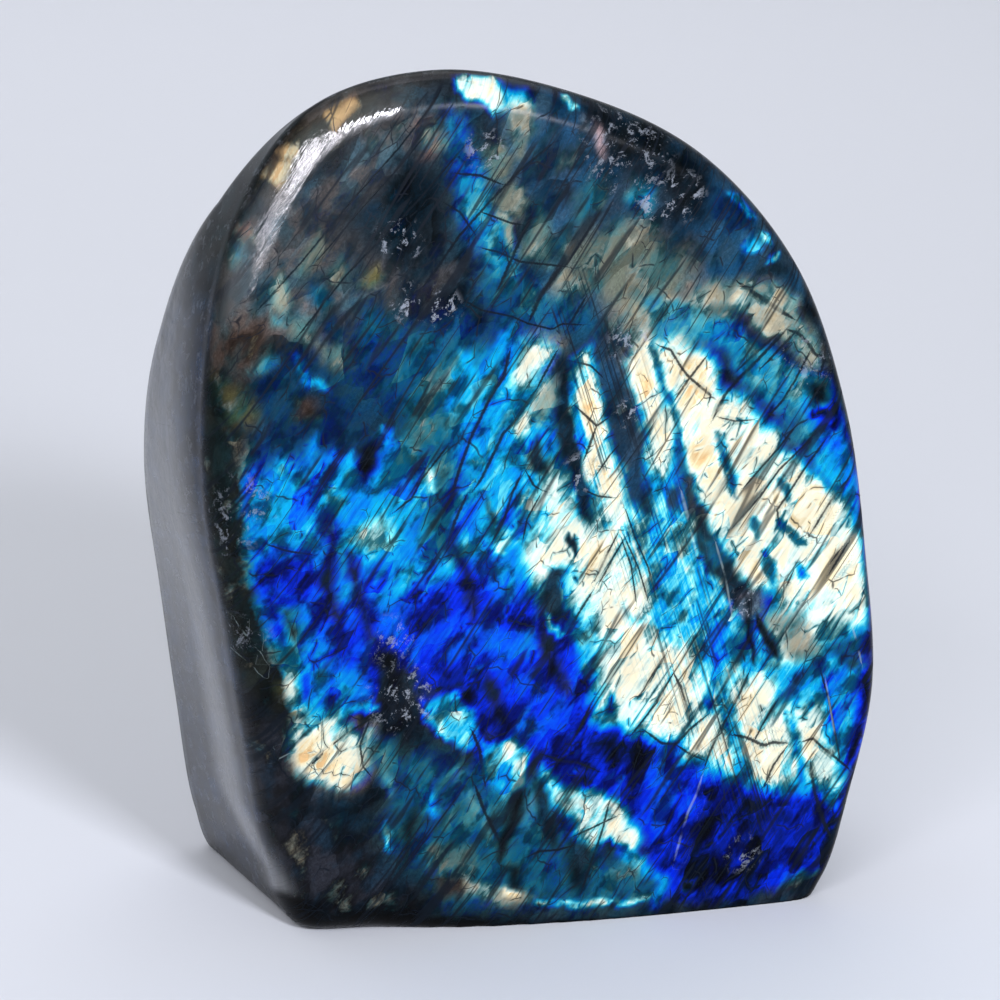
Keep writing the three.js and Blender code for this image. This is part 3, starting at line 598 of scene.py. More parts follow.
        (10, 22), (8, 23.5), (5.5, 28), (3.5, 31.5)]),
    ("white", 1, [(10.5, 28), (13, 27.5), (14.5, 22), (12.5, 19), (11, 23)]),
    ("cream", 1, [(20, 22), (23.5, 17.5), (22, 15), (18.5, 17), (17, 21)]),
    ("black", 1.5, [(-3.5, 14), (-0.5, 13), (-0.5, 8.5), (-3, 8)]),
    ("ink", 1.5, [(10, 17), (15, 15), (13, 7), (10, 7)]),
    ("dim azure", 1.5, [(20, 15), (24.5, 12), (28, 7), (27, 4), (17, 4), (18.5, 10)]),
    ("azure", 1.2, [(20, 14), (25.5, 11), (29.5, 7), (28, 2.5)], 1),
    ("black", 1, [(33.5, 7.5), (36.5, 7), (36, 4), (34, 4.5)]),
    ("linen", 1, [(-11.5, 10), (-7, 8.5), (-3, 7), (1, 6)], 1.6),
    ("sand", 0.6, [(-4, 8.5), (-1.5, 7.5)], 0.7),
    ("ice", 0.6, [(2, 5), (10, 4), (18, 4), (26, 3.5)], 0.6),
    ("basalt", 1.5, [(53.5, 1.5), (59.5, 1), (63.5, 6), (59.5, 5.5), (55, 3)]),
]

# Lines on the face that are drawn one by one: half their width and their points.
DARK_LINES = [
    (0.2, [(-12, 168.5), (-21, 158), (-31, 148), (-41, 137), (-50, 128)]),
    (0.16, [(-11, 165.5), (-20.5, 155), (-30, 145.5), (-38, 137)]),
    (0.2, [(-7.5, 158.5), (-17.5, 148), (-32.5, 134), (-42.5, 122.5)]),
    (0.28, [(9.5, 157.5), (2.5, 152.5), (-3.5, 147), (-10, 140.5), (-15, 134), (-17.5, 131)]),
    (0.4, [(5, 144.5), (2, 139), (0, 135), (-2.5, 130)]),
    (0.48, [(10.5, 134), (6, 128.5), (3.5, 123.5)]),
    (0.28, [(18.5, 144), (13.5, 137), (10.5, 133)]),
    (0.32, [(15, 127.5), (11, 121.5)]),
    (0.28, [(-10, 152.5), (-5.5, 152), (-1, 150)]),
    (0.24, [(-12.5, 147), (-9.5, 145), (-7, 141)]),
    (0.24, [(-5.5, 145), (0.5, 142.5), (3, 142)]),
    (0.24, [(-5.5, 138), (-2, 137), (2, 135), (11.5, 133.5)]),
    (0.2, [(-10, 128.5), (-6, 126), (0, 124.5), (3, 123), (8, 121.5), (10, 122.5), (14.5, 122)]),
    (0.48, [(46, 128.5), (51, 125), (54.5, 122.5), (57.5, 120.5)]),
    (0.4, [(-0.5, 118), (-2, 113), (-4.5, 109.5), (-9, 101), (-11, 96), (-13.5, 89)]),
    (0.36, [(4.5, 110), (0, 104), (-2.5, 101.5), (-7, 93), (-8.5, 91)]),
    (0.28, [(9, 117.5), (6, 112.5), (4.5, 110)]),
    (0.24, [(-13.5, 100), (-19, 93.5), (-21, 90), (-24.5, 87.5)]),
    (0.36, [(-10, 90), (-12.5, 85), (-14, 80.5)]),
    (0.32, [(1, 93.5), (-1, 89.5), (-2.5, 85), (-5, 80.5)]),
    (0.2, [(5, 89.5), (2, 84.5), (1, 80)]),
    (0.28, [(2, 94), (3.5, 91), (5, 90)]),
    (0.28, [(12.5, 106), (16.5, 102), (19, 103.5)]),
    (0.32, [(16.5, 102), (14, 96)]),
    (0.24, [(12, 115), (15.5, 114), (18, 111.5)]),
    (0.24, [(13.5, 89.5), (16.5, 88), (19.5, 87.5)]),
    (0.2, [(16, 92), (19, 96), (21, 98)]),
    (0.24, [(20.5, 80.5), (18, 76), (15.5, 71)]),
    (0.24, [(21.5, 79), (18.5, 74), (16.5, 70.5)]),
    (0.2, [(21, 79.5), (23, 73.5), (24, 66)]),
    (0.2, [(21.5, 80), (24.5, 73), (26.5, 66)]),
    (0.2, [(22, 85), (24, 79), (26.5, 73), (28, 67)]),
    (0.32, [(15, 69), (13, 66), (11, 63), (9.5, 60.5)]),
    (0.4, [(56, 118.5), (50, 113), (46, 109.5), (43, 106.5), (40.5, 102)]),
    (0.28, [(54.5, 118), (50.5, 115), (45.5, 111)]),
    (0.28, [(58, 118), (51, 111.5)]),
    (0.28, [(61, 114), (57.5, 108), (55, 104.5), (50.5, 100)]),
    (0.4, [(56, 118.5), (58.5, 117.5), (60.5, 115.5), (62, 113), (64, 112.5), (63, 109)]),
    (0.24, [(58, 99.5), (54, 95), (49, 90), (46.5, 87.5)]),
    (0.24, [(61, 96.5), (57.5, 93.5), (54, 90.5), (49.5, 85), (44, 79.5)]),
    (0.28, [(64, 96), (59.5, 90.5), (55.5, 85), (53.5, 82.5), (54, 79.5)]),
    (0.28, [(69, 88), (65, 83.5), (60.5, 77)]),
    (0.32, [(29.5, 117), (32, 116), (34, 112.5), (35.5, 110.5), (40, 106.5), (39.5, 105)]),
    (0.28, [(39.5, 114.5), (35.5, 110), (32.5, 106)]),
    (0.2, [(41.5, 102), (45, 101), (49, 101)]),
    (0.32, [(67, 73.5), (65, 71)]),
    (0.28, [(68.5, 74.5), (64.5, 68.5)]),
    (0.24, [(57, 70), (54, 64)]),
    (0.24, [(-50, 82.5), (-46, 81), (-41, 80)]),
    (0.28, [(-39, 40.5), (-39.5, 47)]),
    (0.28, [(-39, 40.5), (-42.5, 36.5)]),
    (0.24, [(-39, 40.5), (-36, 43), (-29, 47)]),
    (0.24, [(-42, 36.5), (-39, 35.5), (-35, 35)]),
    (0.24, [(-30.5, 46), (-32.5, 41), (-32, 36.5), (-30.5, 34.5)]),
    (0.4, [(-10, 42.5), (-8.5, 38.5), (-8, 34.5), (-7.5, 31)]),
    (0.4, [(-9.5, 31), (-7.5, 25), (-4.5, 18.5)]),
    (0.24, [(10.5, 18.5), (14.5, 20), (19.5, 22)]),
    (0.28, [(18, 25), (16.5, 19), (14, 12), (12, 6)]),
    (0.28, [(1, 15), (3.5, 16), (7.5, 16), (10, 16.5)]),
    (0.32, [(14.5, 46), (11.5, 40)]),
    (0.28, [(5, 36), (8.5, 34.5), (11.5, 34), (15.5, 32)]),
    (0.48, [(60.5, 29.5), (61.5, 23), (63.5, 16.5), (65, 13)]),
    (0.4, [(44, 37), (47, 36), (50.5, 34), (52.5, 34.5), (55.5, 34)]),
    (0.32, [(58.5, 34), (61, 34.5), (63.5, 32), (66.5, 29.5), (69, 27)]),
    (0.28, [(55.5, 33.5), (52.5, 29.5), (50.5, 25)]),
    (0.24, [(53.5, 43.5), (50, 38), (48.5, 35)]),
    (0.28, [(47.5, 50), (45.5, 45.5), (43.5, 42), (41.5, 38.5), (39, 33.5), (38, 30.5)]),
    (0.32, [(25.5, 39.5), (29, 36.5), (32, 36), (35, 39), (38.5, 41.5)]),
    (0.28, [(32, 36), (34.5, 34), (38, 32)]),
    (0.36, [(30, 55), (28, 52), (25.5, 48)]),
    (0.24, [(31.5, 51), (28, 45), (22.5, 38.5)]),
    (0.32, [(31.5, 51), (33, 48), (34.5, 43), (35, 40.5)]),
    (0.24, [(62.5, 49), (64.5, 42), (67, 29)]),
]
PALE_LINES = [
    (0.28, [(40.5, 77), (42.5, 70), (44, 61)]),
    (0.4, [(33.5, 88), (35, 82), (36.5, 75)]),
    (0.28, [(69, 58.5), (70.5, 53.5), (71.5, 49)]),
    (0.24, [(63.5, 47.5), (65, 39), (66.5, 31)]),
    (0.2, [(-55.5, 65.5), (-52, 60.5), (-49.5, 57.5)]),
    (0.16, [(-59, 60.5), (-53.5, 57), (-50, 54)]),
    (0.16, [(-48.5, 36.5), (-46.5, 38.5), (-44, 40)]),
    (0.32, [(37.5, 29), (36.5, 25.5), (34.5, 21.5), (32.5, 14.5), (31.5, 11)]),
]

# Rough spots with white crumbs and dark pits: place, radius and how much of them. A spot is even
# within its core, a share of the radius. The sides are a little rough all over.
FLECKS = [
    (-4, 157, 5, 0.8), (30.5, 145, 6, 0.9), (35, 146, 6, 1), (24, 155, 12, 0.7), (23.5, 104, 4, 0.9),
    (46, 11.5, 5, 0.6), (-22, 140, 6, 0.8), (-20, 128, 5, 1), (-14, 127, 5, 1), (-24, 50, 9, 0.9),
    (-26, 62, 6, 0.6), (47.5, 64, 5, 0.9), (13.5, 93, 5, 0.8), (24, 118, 6, 0.8), (-54, 90, 8, 0.5),
    (60, 112, 8, 0.5), (-58, 84, 7, 0.7), (-54, 62, 6, 0.6),
]
FLECK_CORE = 0.4
SIDE_FLECKS = 0.25

# The thin layers' direction, and the direction of the slips that cross them in a band: the band's
# middle line, half its width and half the width of its core.
LAMELLA_TURN, SLIP_TURN = np.radians(54), np.radians(106)
SLIP_BAND = [(12, 124), (19, 104), (27, 80), (36, 56), (46, 26)]
SLIP_BAND_HALF, SLIP_BAND_CORE = 15, 3

# What makes the borders of colours ragged: size, width across the layers, length along them and
# seed. The softening widens every border. The noise repeats after so many cells.
BORDER_SLIPS = [(0.6, 1.2, 14, 1), (0.9, 3.6, 22, 2)]
BORDER_SWAYS = [(0.7, 7, 9, 3), (0.4, 2, 2.5, 4)]
BORDER_SOFTENING = 2.4
NOISE_CELLS = 64

# A band's and a line's width at its ends, as a share of the full one, and how far in it is full:
# in half widths of a band and in millimetres of a line.
BAND_END, BAND_TAPER = 0.35, 2.5
LINE_END, LINE_TAPER = 0.3, 2.5

# A drawn line's layer holds the distance to it in half widths. Past its reach it rises faster, and
# where the distance is this far there is no line.
LINE_REACH, LINE_RISE, LINE_FAR = 0.9, 20, 40

# A line leaves places alone that are further than this from the box around it.
LINE_MARGIN = 3

# Drawn lines show where this much of the stone's look is the front's.
LINE_FRONT = 0.2

# Bare stone: what the paints lie on, and the sides, whose dark grey is tinted blue as a painted
# reflection of the pale studio in the polished wall; towards the top the sides darken and lose most of
# that blue.
BARE_ORDER = 0.1
BODY_GREY = (20, 28, 36)
SIDE_GREY_REFLECTION_TINTED = (21, 30, 48)
UPPER_SIDE_GREY = (22, 26, 26)
SIDE_DARKENS = (116, 140)
SIDE_VEIL = 1.15

# The back's flashes: middle, size, width across the layers, length along them and seed.
BACK_ORDER = (0.38, 0.2, 22, 30, 6)
BACK_GLOW_FADES, BACK_GLOW = (0, 0.7), (15, 26, 5)
BACK_VEIL, BACK_GLOW_VEIL = 1.1, 0.6

# The plane that the face's rim lies near, from which depths are counted: its y at the foot and how
# far back it leans.
RIM_Y, RIM_LEAN = -21, 0.09

# From here on, a pair is where something starts and where it is whole: a height, a place across, a
# depth, or the share of a normal that points to a side.
FRONT_TURNS, BACK_TURNS = (0.12, 0.42), (0.3, 0.8)

# The polish is clear where the stone turns away from the front, and sooner at the foot. At the upper
# left it reaches onto the face, where polishing lines show.
POLISH_TURNS, POLISH_TURNS_DROP, DROP_HEIGHTS = (0.4, 0.7), 0.2, (35, 65)
BRUSHED_HEIGHTS, BRUSHED_ACROSS, BRUSHED_TURNS = (112, 136), (-25, 0), (0.95, 0.998)
ROUNDED_TURNS = (0.3, 0.6)

# On the wall the polish grows with depth. Below it is duller, but for a stripe, which bends forward
# at the foot. The top is dull near the front edge, and so is all that lies to the right.
WALL_DEPTHS = (9, 31)
FOOT_POLISH, FOOT_HEIGHTS = 0.42, (20, 90)
STRIPE_STARTS, STRIPE_ENDS = (18, 27), (31, 42)
STRIPE_BEND, STRIPE_BEND_HEIGHTS = 17, (8, 24)
DULL_SIDES, DULL_DEPTHS, DULL_ACROSS = 0.8, (21, 29), (-26, -9)
BEVEL_TURNS, DULL_BEVEL = (0.4, 0.7), 0.25

# The back and the right side, which the photograph doesn't show, are polished by half.
UNSEEN_POLISH, UNSEEN_TURNS, UNSEEN_BACK_TURNS = 0.5, (0.5, 0.8), (-0.3, -0.1)

# Painted shade beneath the stone: where the stone turns towards the floor, and a tapering painted shadow
# at the foot of the left wall.
SHADE_UNDER_TURNS, SHADE_UNDER_HEIGHTS = (0.1, 0.5), (8, 16)
SHADE_WEDGE_HEIGHT, SHADE_WEDGE_DEPTHS, SHADE_WEDGE_BORDER, SHADE_WEDGE_TURNS = 8, (8, 36), (-1, 1.5), (0.2, 0.5)
UNDER_SHADE_DARKENS, UNDER_SHADE_VEIL = 0.9, 1.2


def smooth_steps(low, high, value):
    """0 below low, 1 above high and smooth between them."""
    t = np.clip((value - low) / (high - low), 0, 1)
    return t * t * (3 - 2 * t)


def linear_colour(srgb):
    """An sRGB colour in levels of 255 as linear shares."""
    share = np.asarray(srgb, float) / 255
    return np.where(share <= 0.04045, share / 12.92, ((share + 0.055) / 1.055) ** 2.4)


def lattice_noise(u, v, seed):
    """Smooth noise from -1 to 1 that changes over one unit of u and v."""
    table = np.random.default_rng(seed).uniform(-1, 1, (NOISE_CELLS, NOISE_CELLS))
    i, j = np.floor(u).astype(int), np.floor(v).astype(int)
    a, b = smooth_steps(0, 1, u - i), smooth_steps(0, 1, v - j)
    i0, i1, j0, j1 = (k % NOISE_CELLS for k in (i, i + 1, j, j + 1))
    low = table[i0, j0] * (1 - a) + table[i1, j0] * a
    high = table[i0, j1] * (1 - a) + table[i1, j1] * a
    return low * (1 - b) + high * b


def noise_total(noises, across, along):
    total = 0
    for size, width, length, seed in noises:
        total = total + size * lattice_noise(across / width, along / length, seed)
    return total


def turned_places(x, z, turn):
    """Places across and along lines that run in a direction."""
    across = x * np.sin(turn) - z * np.cos(turn)
    along = x * np.cos(turn) + z * np.sin(turn)
    return across, along


def ragged(x, z):
    """Places slipped along the layers by different amounts, so that a colour's border is ragged."""
    across, along = turned_places(x, z, LAMELLA_TURN)
    slip, sway = (noise_total(noises, across, along) for noises in (BORDER_SLIPS, BORDER_SWAYS))
    new_x = x + slip * np.cos(LAMELLA_TURN) + sway * np.sin(LAMELLA_TURN)
    new_z = z + slip * np.sin(LAMELLA_TURN) - sway * np.cos(LAMELLA_TURN)
    return new_x, new_z


def nearest_edge(points, x, z, closed=False):
    """Distance to a chain of points, the side of it, the way along it and its length."""
    starts = np.array(points, float)
    ends = np.roll(starts, -1, axis=0) if closed else starts[1:]
    best, side, along = np.full(x.shape, np.inf), np.ones(x.shape), np.zeros(x.shape)
    passed = 0.0
    for (ax, az), (bx, bz) in zip(starts, ends):
        length = np.hypot(bx - ax, bz - az)
        t = np.clip(((x - ax) * (bx - ax) + (z - az) * (bz - az)) / length**2, 0, 1)
        distance = np.hypot(x - ax - t * (bx - ax), z - az - t * (bz - az))
        closer = distance < best
        turn = (x - ax) * (bz - az) - (z - az) * (bx - ax)
        best = np.where(closer, distance, best)
        side = np.where(closer, np.where(turn > 0, 1.0, -1.0), side)
        along = np.where(closer, passed + t * length, along)
        passed += length
    return best, side, along, passed


def inside(points, x, z):
    """Whether places lie inside a closed chain of points."""
    crossed = np.zeros(x.shape, bool)
    for (ax, az), (bx, bz) in zip(points, points[1:] + points[:1]):
        if az == bz:
            continue
        straddles = (az > z) != (bz > z)
        crossed ^= straddles & (x < ax + (z - az) / (bz - az) * (bx - ax))
    return crossed


def close_to(points, x, z, reach):
    """Whether places lie within a reach of the box around points."""
    corners = np.array(points, float)
    low, high = corners.min(axis=0) - reach, corners.max(axis=0) + reach
    return (x > low[0]) & (x < high[0]) & (z > low[1]) & (z < high[1])


def patch_cover(points, soft, half, x, z):
    """How far a patch, or a band of the given half width, covers each place."""
    distance, _, along, length = nearest_edge(points, x, z, closed=half is None)
    if half is None:
        depth = np.where(inside(points, x, z), distance, -distance)
    else:
        from_end = np.minimum(along, length - along)
        depth = half * np.clip(BAND_END + from_end / (BAND_TAPER * half), 0, 1) - distance
    blur = BORDER_SOFTENING * soft / 2
    return smooth_steps(-blur, blur, depth)


def paint_face(x, z):
    """The flash's order, the veil over it and the body colour at places on the face."""
    order, veil = np.full(x.shape, BARE_ORDER), np.ones(x.shape)
    body = np.tile(linear_colour(BODY_GREY), (len(x), 1))
    ragged_x, ragged_z = ragged(x, z)
    for name, soft, points, *band in PATCHES:
        half = band[0] if band else None
        near = close_to(points, ragged_x, ragged_z, (half or 0) + soft)
        cover = patch_cover(points, soft, half, ragged_x[near], ragged_z[near])
        paint_order, paint_veil, paint_body = PAINTS[name]
        order[near] += (paint_order - order[near]) * cover
        veil[near] += (paint_veil - veil[near]) * cover
        if paint_body:
            body[near] += (linear_colour(paint_body) - body[near]) * cover[:, None]
    return order, veil, body


def line_layers(lines, x, z):
    """Signed distances to the lines, in half widths. Lines that come close share no layer."""
    layers = []
    for half, points in lines:
        near = close_to(points, x, z, LINE_MARGIN)
        distance, side, along, length = nearest_edge(points, x[near], z[near])
        taper = np.clip(LINE_END + np.minimum(along, length - along) / LINE_TAPER, 0, 1)
        widths = distance / (half * taper) + LINE_RISE * np.maximum(distance - LINE_REACH, 0)
        own = widths < LINE_FAR
        place = np.flatnonzero(near)[own]
        free = [layer for layer in layers if (layer[place] == LINE_FAR).all()]
        if not free:
            layers.append(np.full(x.shape, float(LINE_FAR)))
            free = layers[-1:]
        free[0][place] = (side * widths)[own]
    return layers


def fleck_share(x, z):
    share = np.zeros(x.shape)
    for at_x, at_z, radius, amount in FLECKS:
        away = np.hypot(x - at_x, z - at_z) / radius
        share = np.maximum(share, amount * (1 - smooth_steps(FLECK_CORE, 1, away)))
    return share


def paint_back(x, z):
    """The order and veil of weaker flashes for the back, which the photograph doesn't show."""
    across, along = turned_places(x, z, LAMELLA_TURN)
    middle, size, width, length, seed = BACK_ORDER
    order = middle + size * lattice_noise(across / width, along / length, seed)
    width, length, seed = BACK_GLOW
    glow = smooth_steps(*BACK_GLOW_FADES, lattice_noise(across / width, along / length, seed))
    return order, BACK_VEIL - BACK_GLOW_VEIL * glow


def side_colour_and_reflection_tint(z):
    # The sides' dark grey with its painted blue reflection tint, darker and less blue towards the top.
    upper = smooth_steps(*SIDE_DARKENS, z)[:, None]
    return linear_colour(SIDE_GREY_REFLECTION_TINTED) * (1 - upper) + linear_colour(UPPER_SIDE_GREY) * upper


def painted_shade_share(z, behind, normals):
    """How far painted shade darkens the stone beneath it and at the foot of the left wall."""
    shaded_downward = smooth_steps(*SHADE_UNDER_TURNS, -normals[:, 2]) * (1 - smooth_steps(*SHADE_UNDER_HEIGHTS, z))
    shade_wedge_top = SHADE_WEDGE_HEIGHT * (1 - smooth_steps(*SHADE_WEDGE_DEPTHS, behind))
    shade_wedge = (1 - smooth_steps(*SHADE_WEDGE_BORDER, z - shade_wedge_top)) * smooth_steps(*SHADE_WEDGE_TURNS, -normals[:, 0])
    return np.maximum(shaded_downward, shade_wedge)


def polish_share(x, z, behind, normals):
    """How clear the polish is at places on the front and the sides."""
    forward = -normals[:, 1]
    brushed = smooth_steps(*BRUSHED_HEIGHTS, z) * (1 - smooth_steps(*BRUSHED_ACROSS, x))
    low, high = (turn - POLISH_TURNS_DROP * smooth_steps(*DROP_HEIGHTS, z) for turn in POLISH_TURNS)
    low, high = (turn + (far - turn) * brushed for turn, far in zip((low, high), BRUSHED_TURNS))
    polish = 1 - smooth_steps(low, high, forward)

    behind = behind + STRIPE_BEND * (1 - smooth_steps(*STRIPE_BEND_HEIGHTS, z))
    rounded = brushed * smooth_steps(*ROUNDED_TURNS, forward)
    polish *= 1 - (1 - rounded) * (1 - smooth_steps(*WALL_DEPTHS, behind))

    bevel = smooth_steps(*BEVEL_TURNS, forward)
    dull_top = smooth_steps(*SIDE_DARKENS, z) * (1 - bevel) * (1 - smooth_steps(*DULL_DEPTHS, behind))
    dull_right = (1 + DULL_BEVEL * bevel) * smooth_steps(*DULL_ACROSS, x)
    polish *= 1 - DULL_SIDES * np.maximum(dull_top, dull_right)

    stripe = smooth_steps(*STRIPE_STARTS, behind) * (1 - smooth_steps(*STRIPE_ENDS, behind))
    clear = np.maximum(smooth_steps(*FOOT_HEIGHTS, z), stripe)
    return polish * (FOOT_POLISH + (1 - FOOT_POLISH) * clear)


def store(mesh, name, kind, values):
    attribute = mesh.attributes.new(name, kind, "POINT")
    key = {"FLOAT": "value", "FLOAT_VECTOR": "vector", "FLOAT_COLOR": "color"}[kind]
    attribute.data.foreach_set(key, np.asarray(values, np.float32).ravel())


def paint_lines(mesh, x, z, front):
    """Stores the drawn lines. Returns the names of the dark and pale line layers."""
    names = {}
    for kind, lines in (("dark", DARK_LINES), ("pale", PALE_LINES)):
        layers = line_layers(lines, x, z)
        names[kind] = [f"{kind}_line_{i}" for i in range(len(layers))]
        for name, layer in zip(names[kind], layers):
            store(mesh, name, "FLOAT", np.where(front > LINE_FRONT, layer, LINE_FAR))
    return names


def paint_stone(stone, shape):
    """Paints the stone's vertices. Returns the names of the dark and pale line layers."""
    mesh = stone.data
    x, y, z = shape.T
    normals = np.empty(shape.size, np.float32)
    mesh.vertices.foreach_get("normal", normals)
    normals = normals.reshape(-1, 3)
    front = smooth_steps(*FRONT_TURNS, -normals[:, 1])
    back = smooth_steps(*BACK_TURNS, normals[:, 1])
    behind = y - RIM_Y - RIM_LEAN * z

    order, veil, body = paint_face(x, z)
    back_order, back_veil = paint_back(x, z)
    order = order * (1 - back) + back_order * back
    veil = front * veil + back * back_veil + (1 - front - back) * SIDE_VEIL
    body = body * front[:, None] + side_colour_and_reflection_tint(z) * (1 - front)[:, None]
    polish = polish_share(x, z, behind, normals)
    right = smooth_steps(*UNSEEN_TURNS, normals[:, 0]) * smooth_steps(*UNSEEN_BACK_TURNS, normals[:, 1])
    polish += (UNSEEN_POLISH - polish) * np.maximum(back, right)
    # Painted shade beneath the stone: the body darkens, the flash is hidden and the polish goes.
    painted_shade = painted_shade_share(z, behind, normals)
    body *= 1 - UNDER_SHADE_DARKENS * painted_shade[:, None]
    veil = np.maximum(veil, UNDER_SHADE_VEIL * painted_shade)
    polish *= 1 - painted_shade
    from_slips = nearest_edge(SLIP_BAND, x, z)[0]

    store(mesh, "order", "FLOAT", order)
    store(mesh, "veil", "FLOAT", veil)
    store(mesh, "front", "FLOAT", front)
    store(mesh, "polish", "FLOAT", polish)
    store(mesh, "fleck", "FLOAT", fleck_share(x, z) * front + SIDE_FLECKS * (1 - front))
    store(mesh, "body", "FLOAT_COLOR", np.column_stack([body, np.ones(len(body))]))
    store(mesh, "slips", "FLOAT", 1 - smooth_steps(SLIP_BAND_CORE, SLIP_BAND_HALF, from_slips))
    store(mesh, "lamella", "FLOAT_VECTOR", np.column_stack([*turned_places(x, z, LAMELLA_TURN), y]))
    store(mesh, "slip_lines", "FLOAT_VECTOR", np.column_stack([*turned_places(x, z, SLIP_TURN), y]))
    return paint_lines(mesh, x, z, front)


# The material's noises: what they follow, how far they are shifted along it, how many times they
# change in a millimetre across the layers, along them and backwards, their detail and roughness.
NO_SHIFT = (0, 0, 0)
NOISES = {
    "streak": ("lamella", NO_SHIFT, (1.5, 0.10, 0), 4, 0.6),
    "slip_streak": ("slip_lines", NO_SHIFT, (1.3, 0.045, 0), 3, 0.6),
    "fine": ("bent", NO_SHIFT, (2.4, 1.4, 2), 3, 0.7),
    "cloud": ("bent", NO_SHIFT, (0.21, 0.12, 0.2), 3, 0.55),
    "shade": ("bent", (90, 40, 0), (0.26, 0.15, 0.25), 4, 0.52),
    "crumb": ("bent", (7, 3, 0), (0.42, 0.32, 0.4), 6, 0.8),
}

# The flat cells that give neighbouring blocks and small chips of the stone their own shades.
BLOCK_SCALES, CHIP_SCALES = (0.26, 0.10, 0), (0.62, 0.34, 0)

# The gentle wave that bends the layers: how fast it changes, its size and what centres it.
WAVE_SCALES, WAVE_SIZE, WAVE_MIDDLE = (0.25, 0.08, 0), (2.2, 3.5, 0), (-0.5, -0.5, -0.5)

# Nets of cracks: shift, scales, how thin they are, and from where to where in a noise they appear.
CRACKS = [
    (NO_SHIFT, (0.17, 0.09, 0), 0.026, (0.44, 0.58)),
    ((50, 9, 0), (0.38, 0.22, 0), 0.038, (0.54, 0.66)),
]
SOME_CRACKS_SHIFT, SOME_CRACKS_SCALES = (3, 71, 9), (0.3, 0.2, 0)

# Long thin lines along the layers, and those along the slips: scales, how thin they are, shift, and
# from where to where in a noise they appear.
HAIRLINES = [
    ((0.20, 0.010, 0), 0.040, 113, (0.47, 0.60)),
    ((0.42, 0.006, 0), 0.040, 13, (0.50, 0.62)),
]
SLIP_HAIRLINES = ((0.7, 0.006, 0), 0.050, 31, (0.44, 0.58))
HAIRLINE_BREAKS_SHIFT, HAIRLINE_BREAKS_SCALES = (11, 5), (0.30, 0.05, 0)
HAIRLINE_DETAIL, HAIRLINE_ROUGHNESS = 1, 0.4

# Where a line's core and its margin start and are whole, in multiples of how thin the line is.
CRACK_WIDTHS = [(1, 0.3), (4.5, 1)]
HAIRLINE_WIDTHS = [(1, 0.2), (4, 0.6)]

# How far a noise from 0 to 1 moves the flash's order, its strength, the veil or a line's border.
CHIP_SWAY, CLOUD_SWAY, BLOCK_SWAY, FINE_SWAY = 0.03, 0.17, 0.05, 0.035
STREAK_SWAY, SLIP_SWAY = 0.10, 0.18
CHIP_STRENGTH = 0.06
SHADE_COVER, STREAK_COVER, FINE_COVER = 0.50, 0.10, 0.14
FINE_BORDER = 0.9

# From here on, two numbers are where a smooth change starts and is whole, and four hold its values
# too. First the changes by the flash's order, by the veil over it and by the distance to a line.
LOOSE_BY_VEIL = (0, 0.9, 1, 1.6)
ROOM_BY_ORDER = (0.66, 0.82, 0.25, 0.04)
STREAKS_BY_ORDER = (0.35, 0.75, 0.5, 0.8)
PALE_BY_ORDER = (0.62, 0.85)
CLEAR_BY_VEIL, COVER_BY_VEIL = (0.02, 0.3), (0.12, 0.95)
DRAWN_CORE, DRAWN_MARGIN = (1.4, 0.4), (6, 1.5)
PALE_LINE = (1.2, 0.2, 0, 0.3)

# Then the changes by a noise or by a cell's own shade.
MARGIN_ORDER_BY_BLOCK = (0.35, 0.65, -0.05, 0.13)
STAINS_BY_BLOCK = (0.5, 0.7)
STRENGTH_BY_SHADE, STRENGTH_BY_STREAK = (0.40, 0.56, 0.18, 0.90), (0.30, 0.52, 0.88, 1.02)
WARM_BY_CLOUD = (0.38, 0.60)
BODY_BY_FINE, BODY_BY_SHADE = (0.32, 0.72, 0.75, 1.3), (0.36, 0.62, 0.35, 1.5)
DRAWN_BY_SHADE, PALE_LINE_BY_SHADE = (0.32, 0.5, 0.45, 0.92), (0.40, 0.55)
BRIGHT_CRUMBS, DARK_PITS = (0.55, 0.60), (0.46, 0.38)
BRUSHING_BY_FRONT = (0, 1, 0.6, 3.2)

# Linear colours, and how much of each shows at most.
COOL_TINT, WARM_TINT = (0.54, 1.05, 1.2, 1), (1.18, 1.08, 0.96, 1)
STAIN_BROWN, STAIN_SHARE = (0.36, 0.25, 0.10, 1), 0.42
CRACK_BLACK, CRACK_SHARE = (0.004, 0.007, 0.012, 1), 0.80
DRAWN_BLACK = (0.005, 0.008, 0.012, 1)
PALE_LINE_GREY = (0.36, 0.46, 0.46, 1)
PIT_BLACK, PIT_SHARE = (0.004, 0.006, 0.010, 1), 0.6
CRUMB_WHITE, CRUMB_SHARE = (0.34, 0.38, 0.44, 1), 0.6

# How drawn lines lower the order, the order's end, the least strength of pale flashes, the least
# shade of a block and the cloud's height in the polish, beside the streaks.
DRAWN_MARGIN_LOWERS = 0.06
LAST_ORDER = 0.98
PALE_STRENGTH = 0.77
LEAST_BLOCK = 0.55
CLOUD_RELIEF = 8

# The surface: a dull stone under a mirror-like coat, which is the polish.
ROUGHNESS, WORN_ROUGHNESS = 0.22, 0.35
SPECULAR = 0.05
COAT_ROUGHNESS, COAT_IOR = 0.14, 2.6
SCRATCH_DEPTH = 0.05 * MM


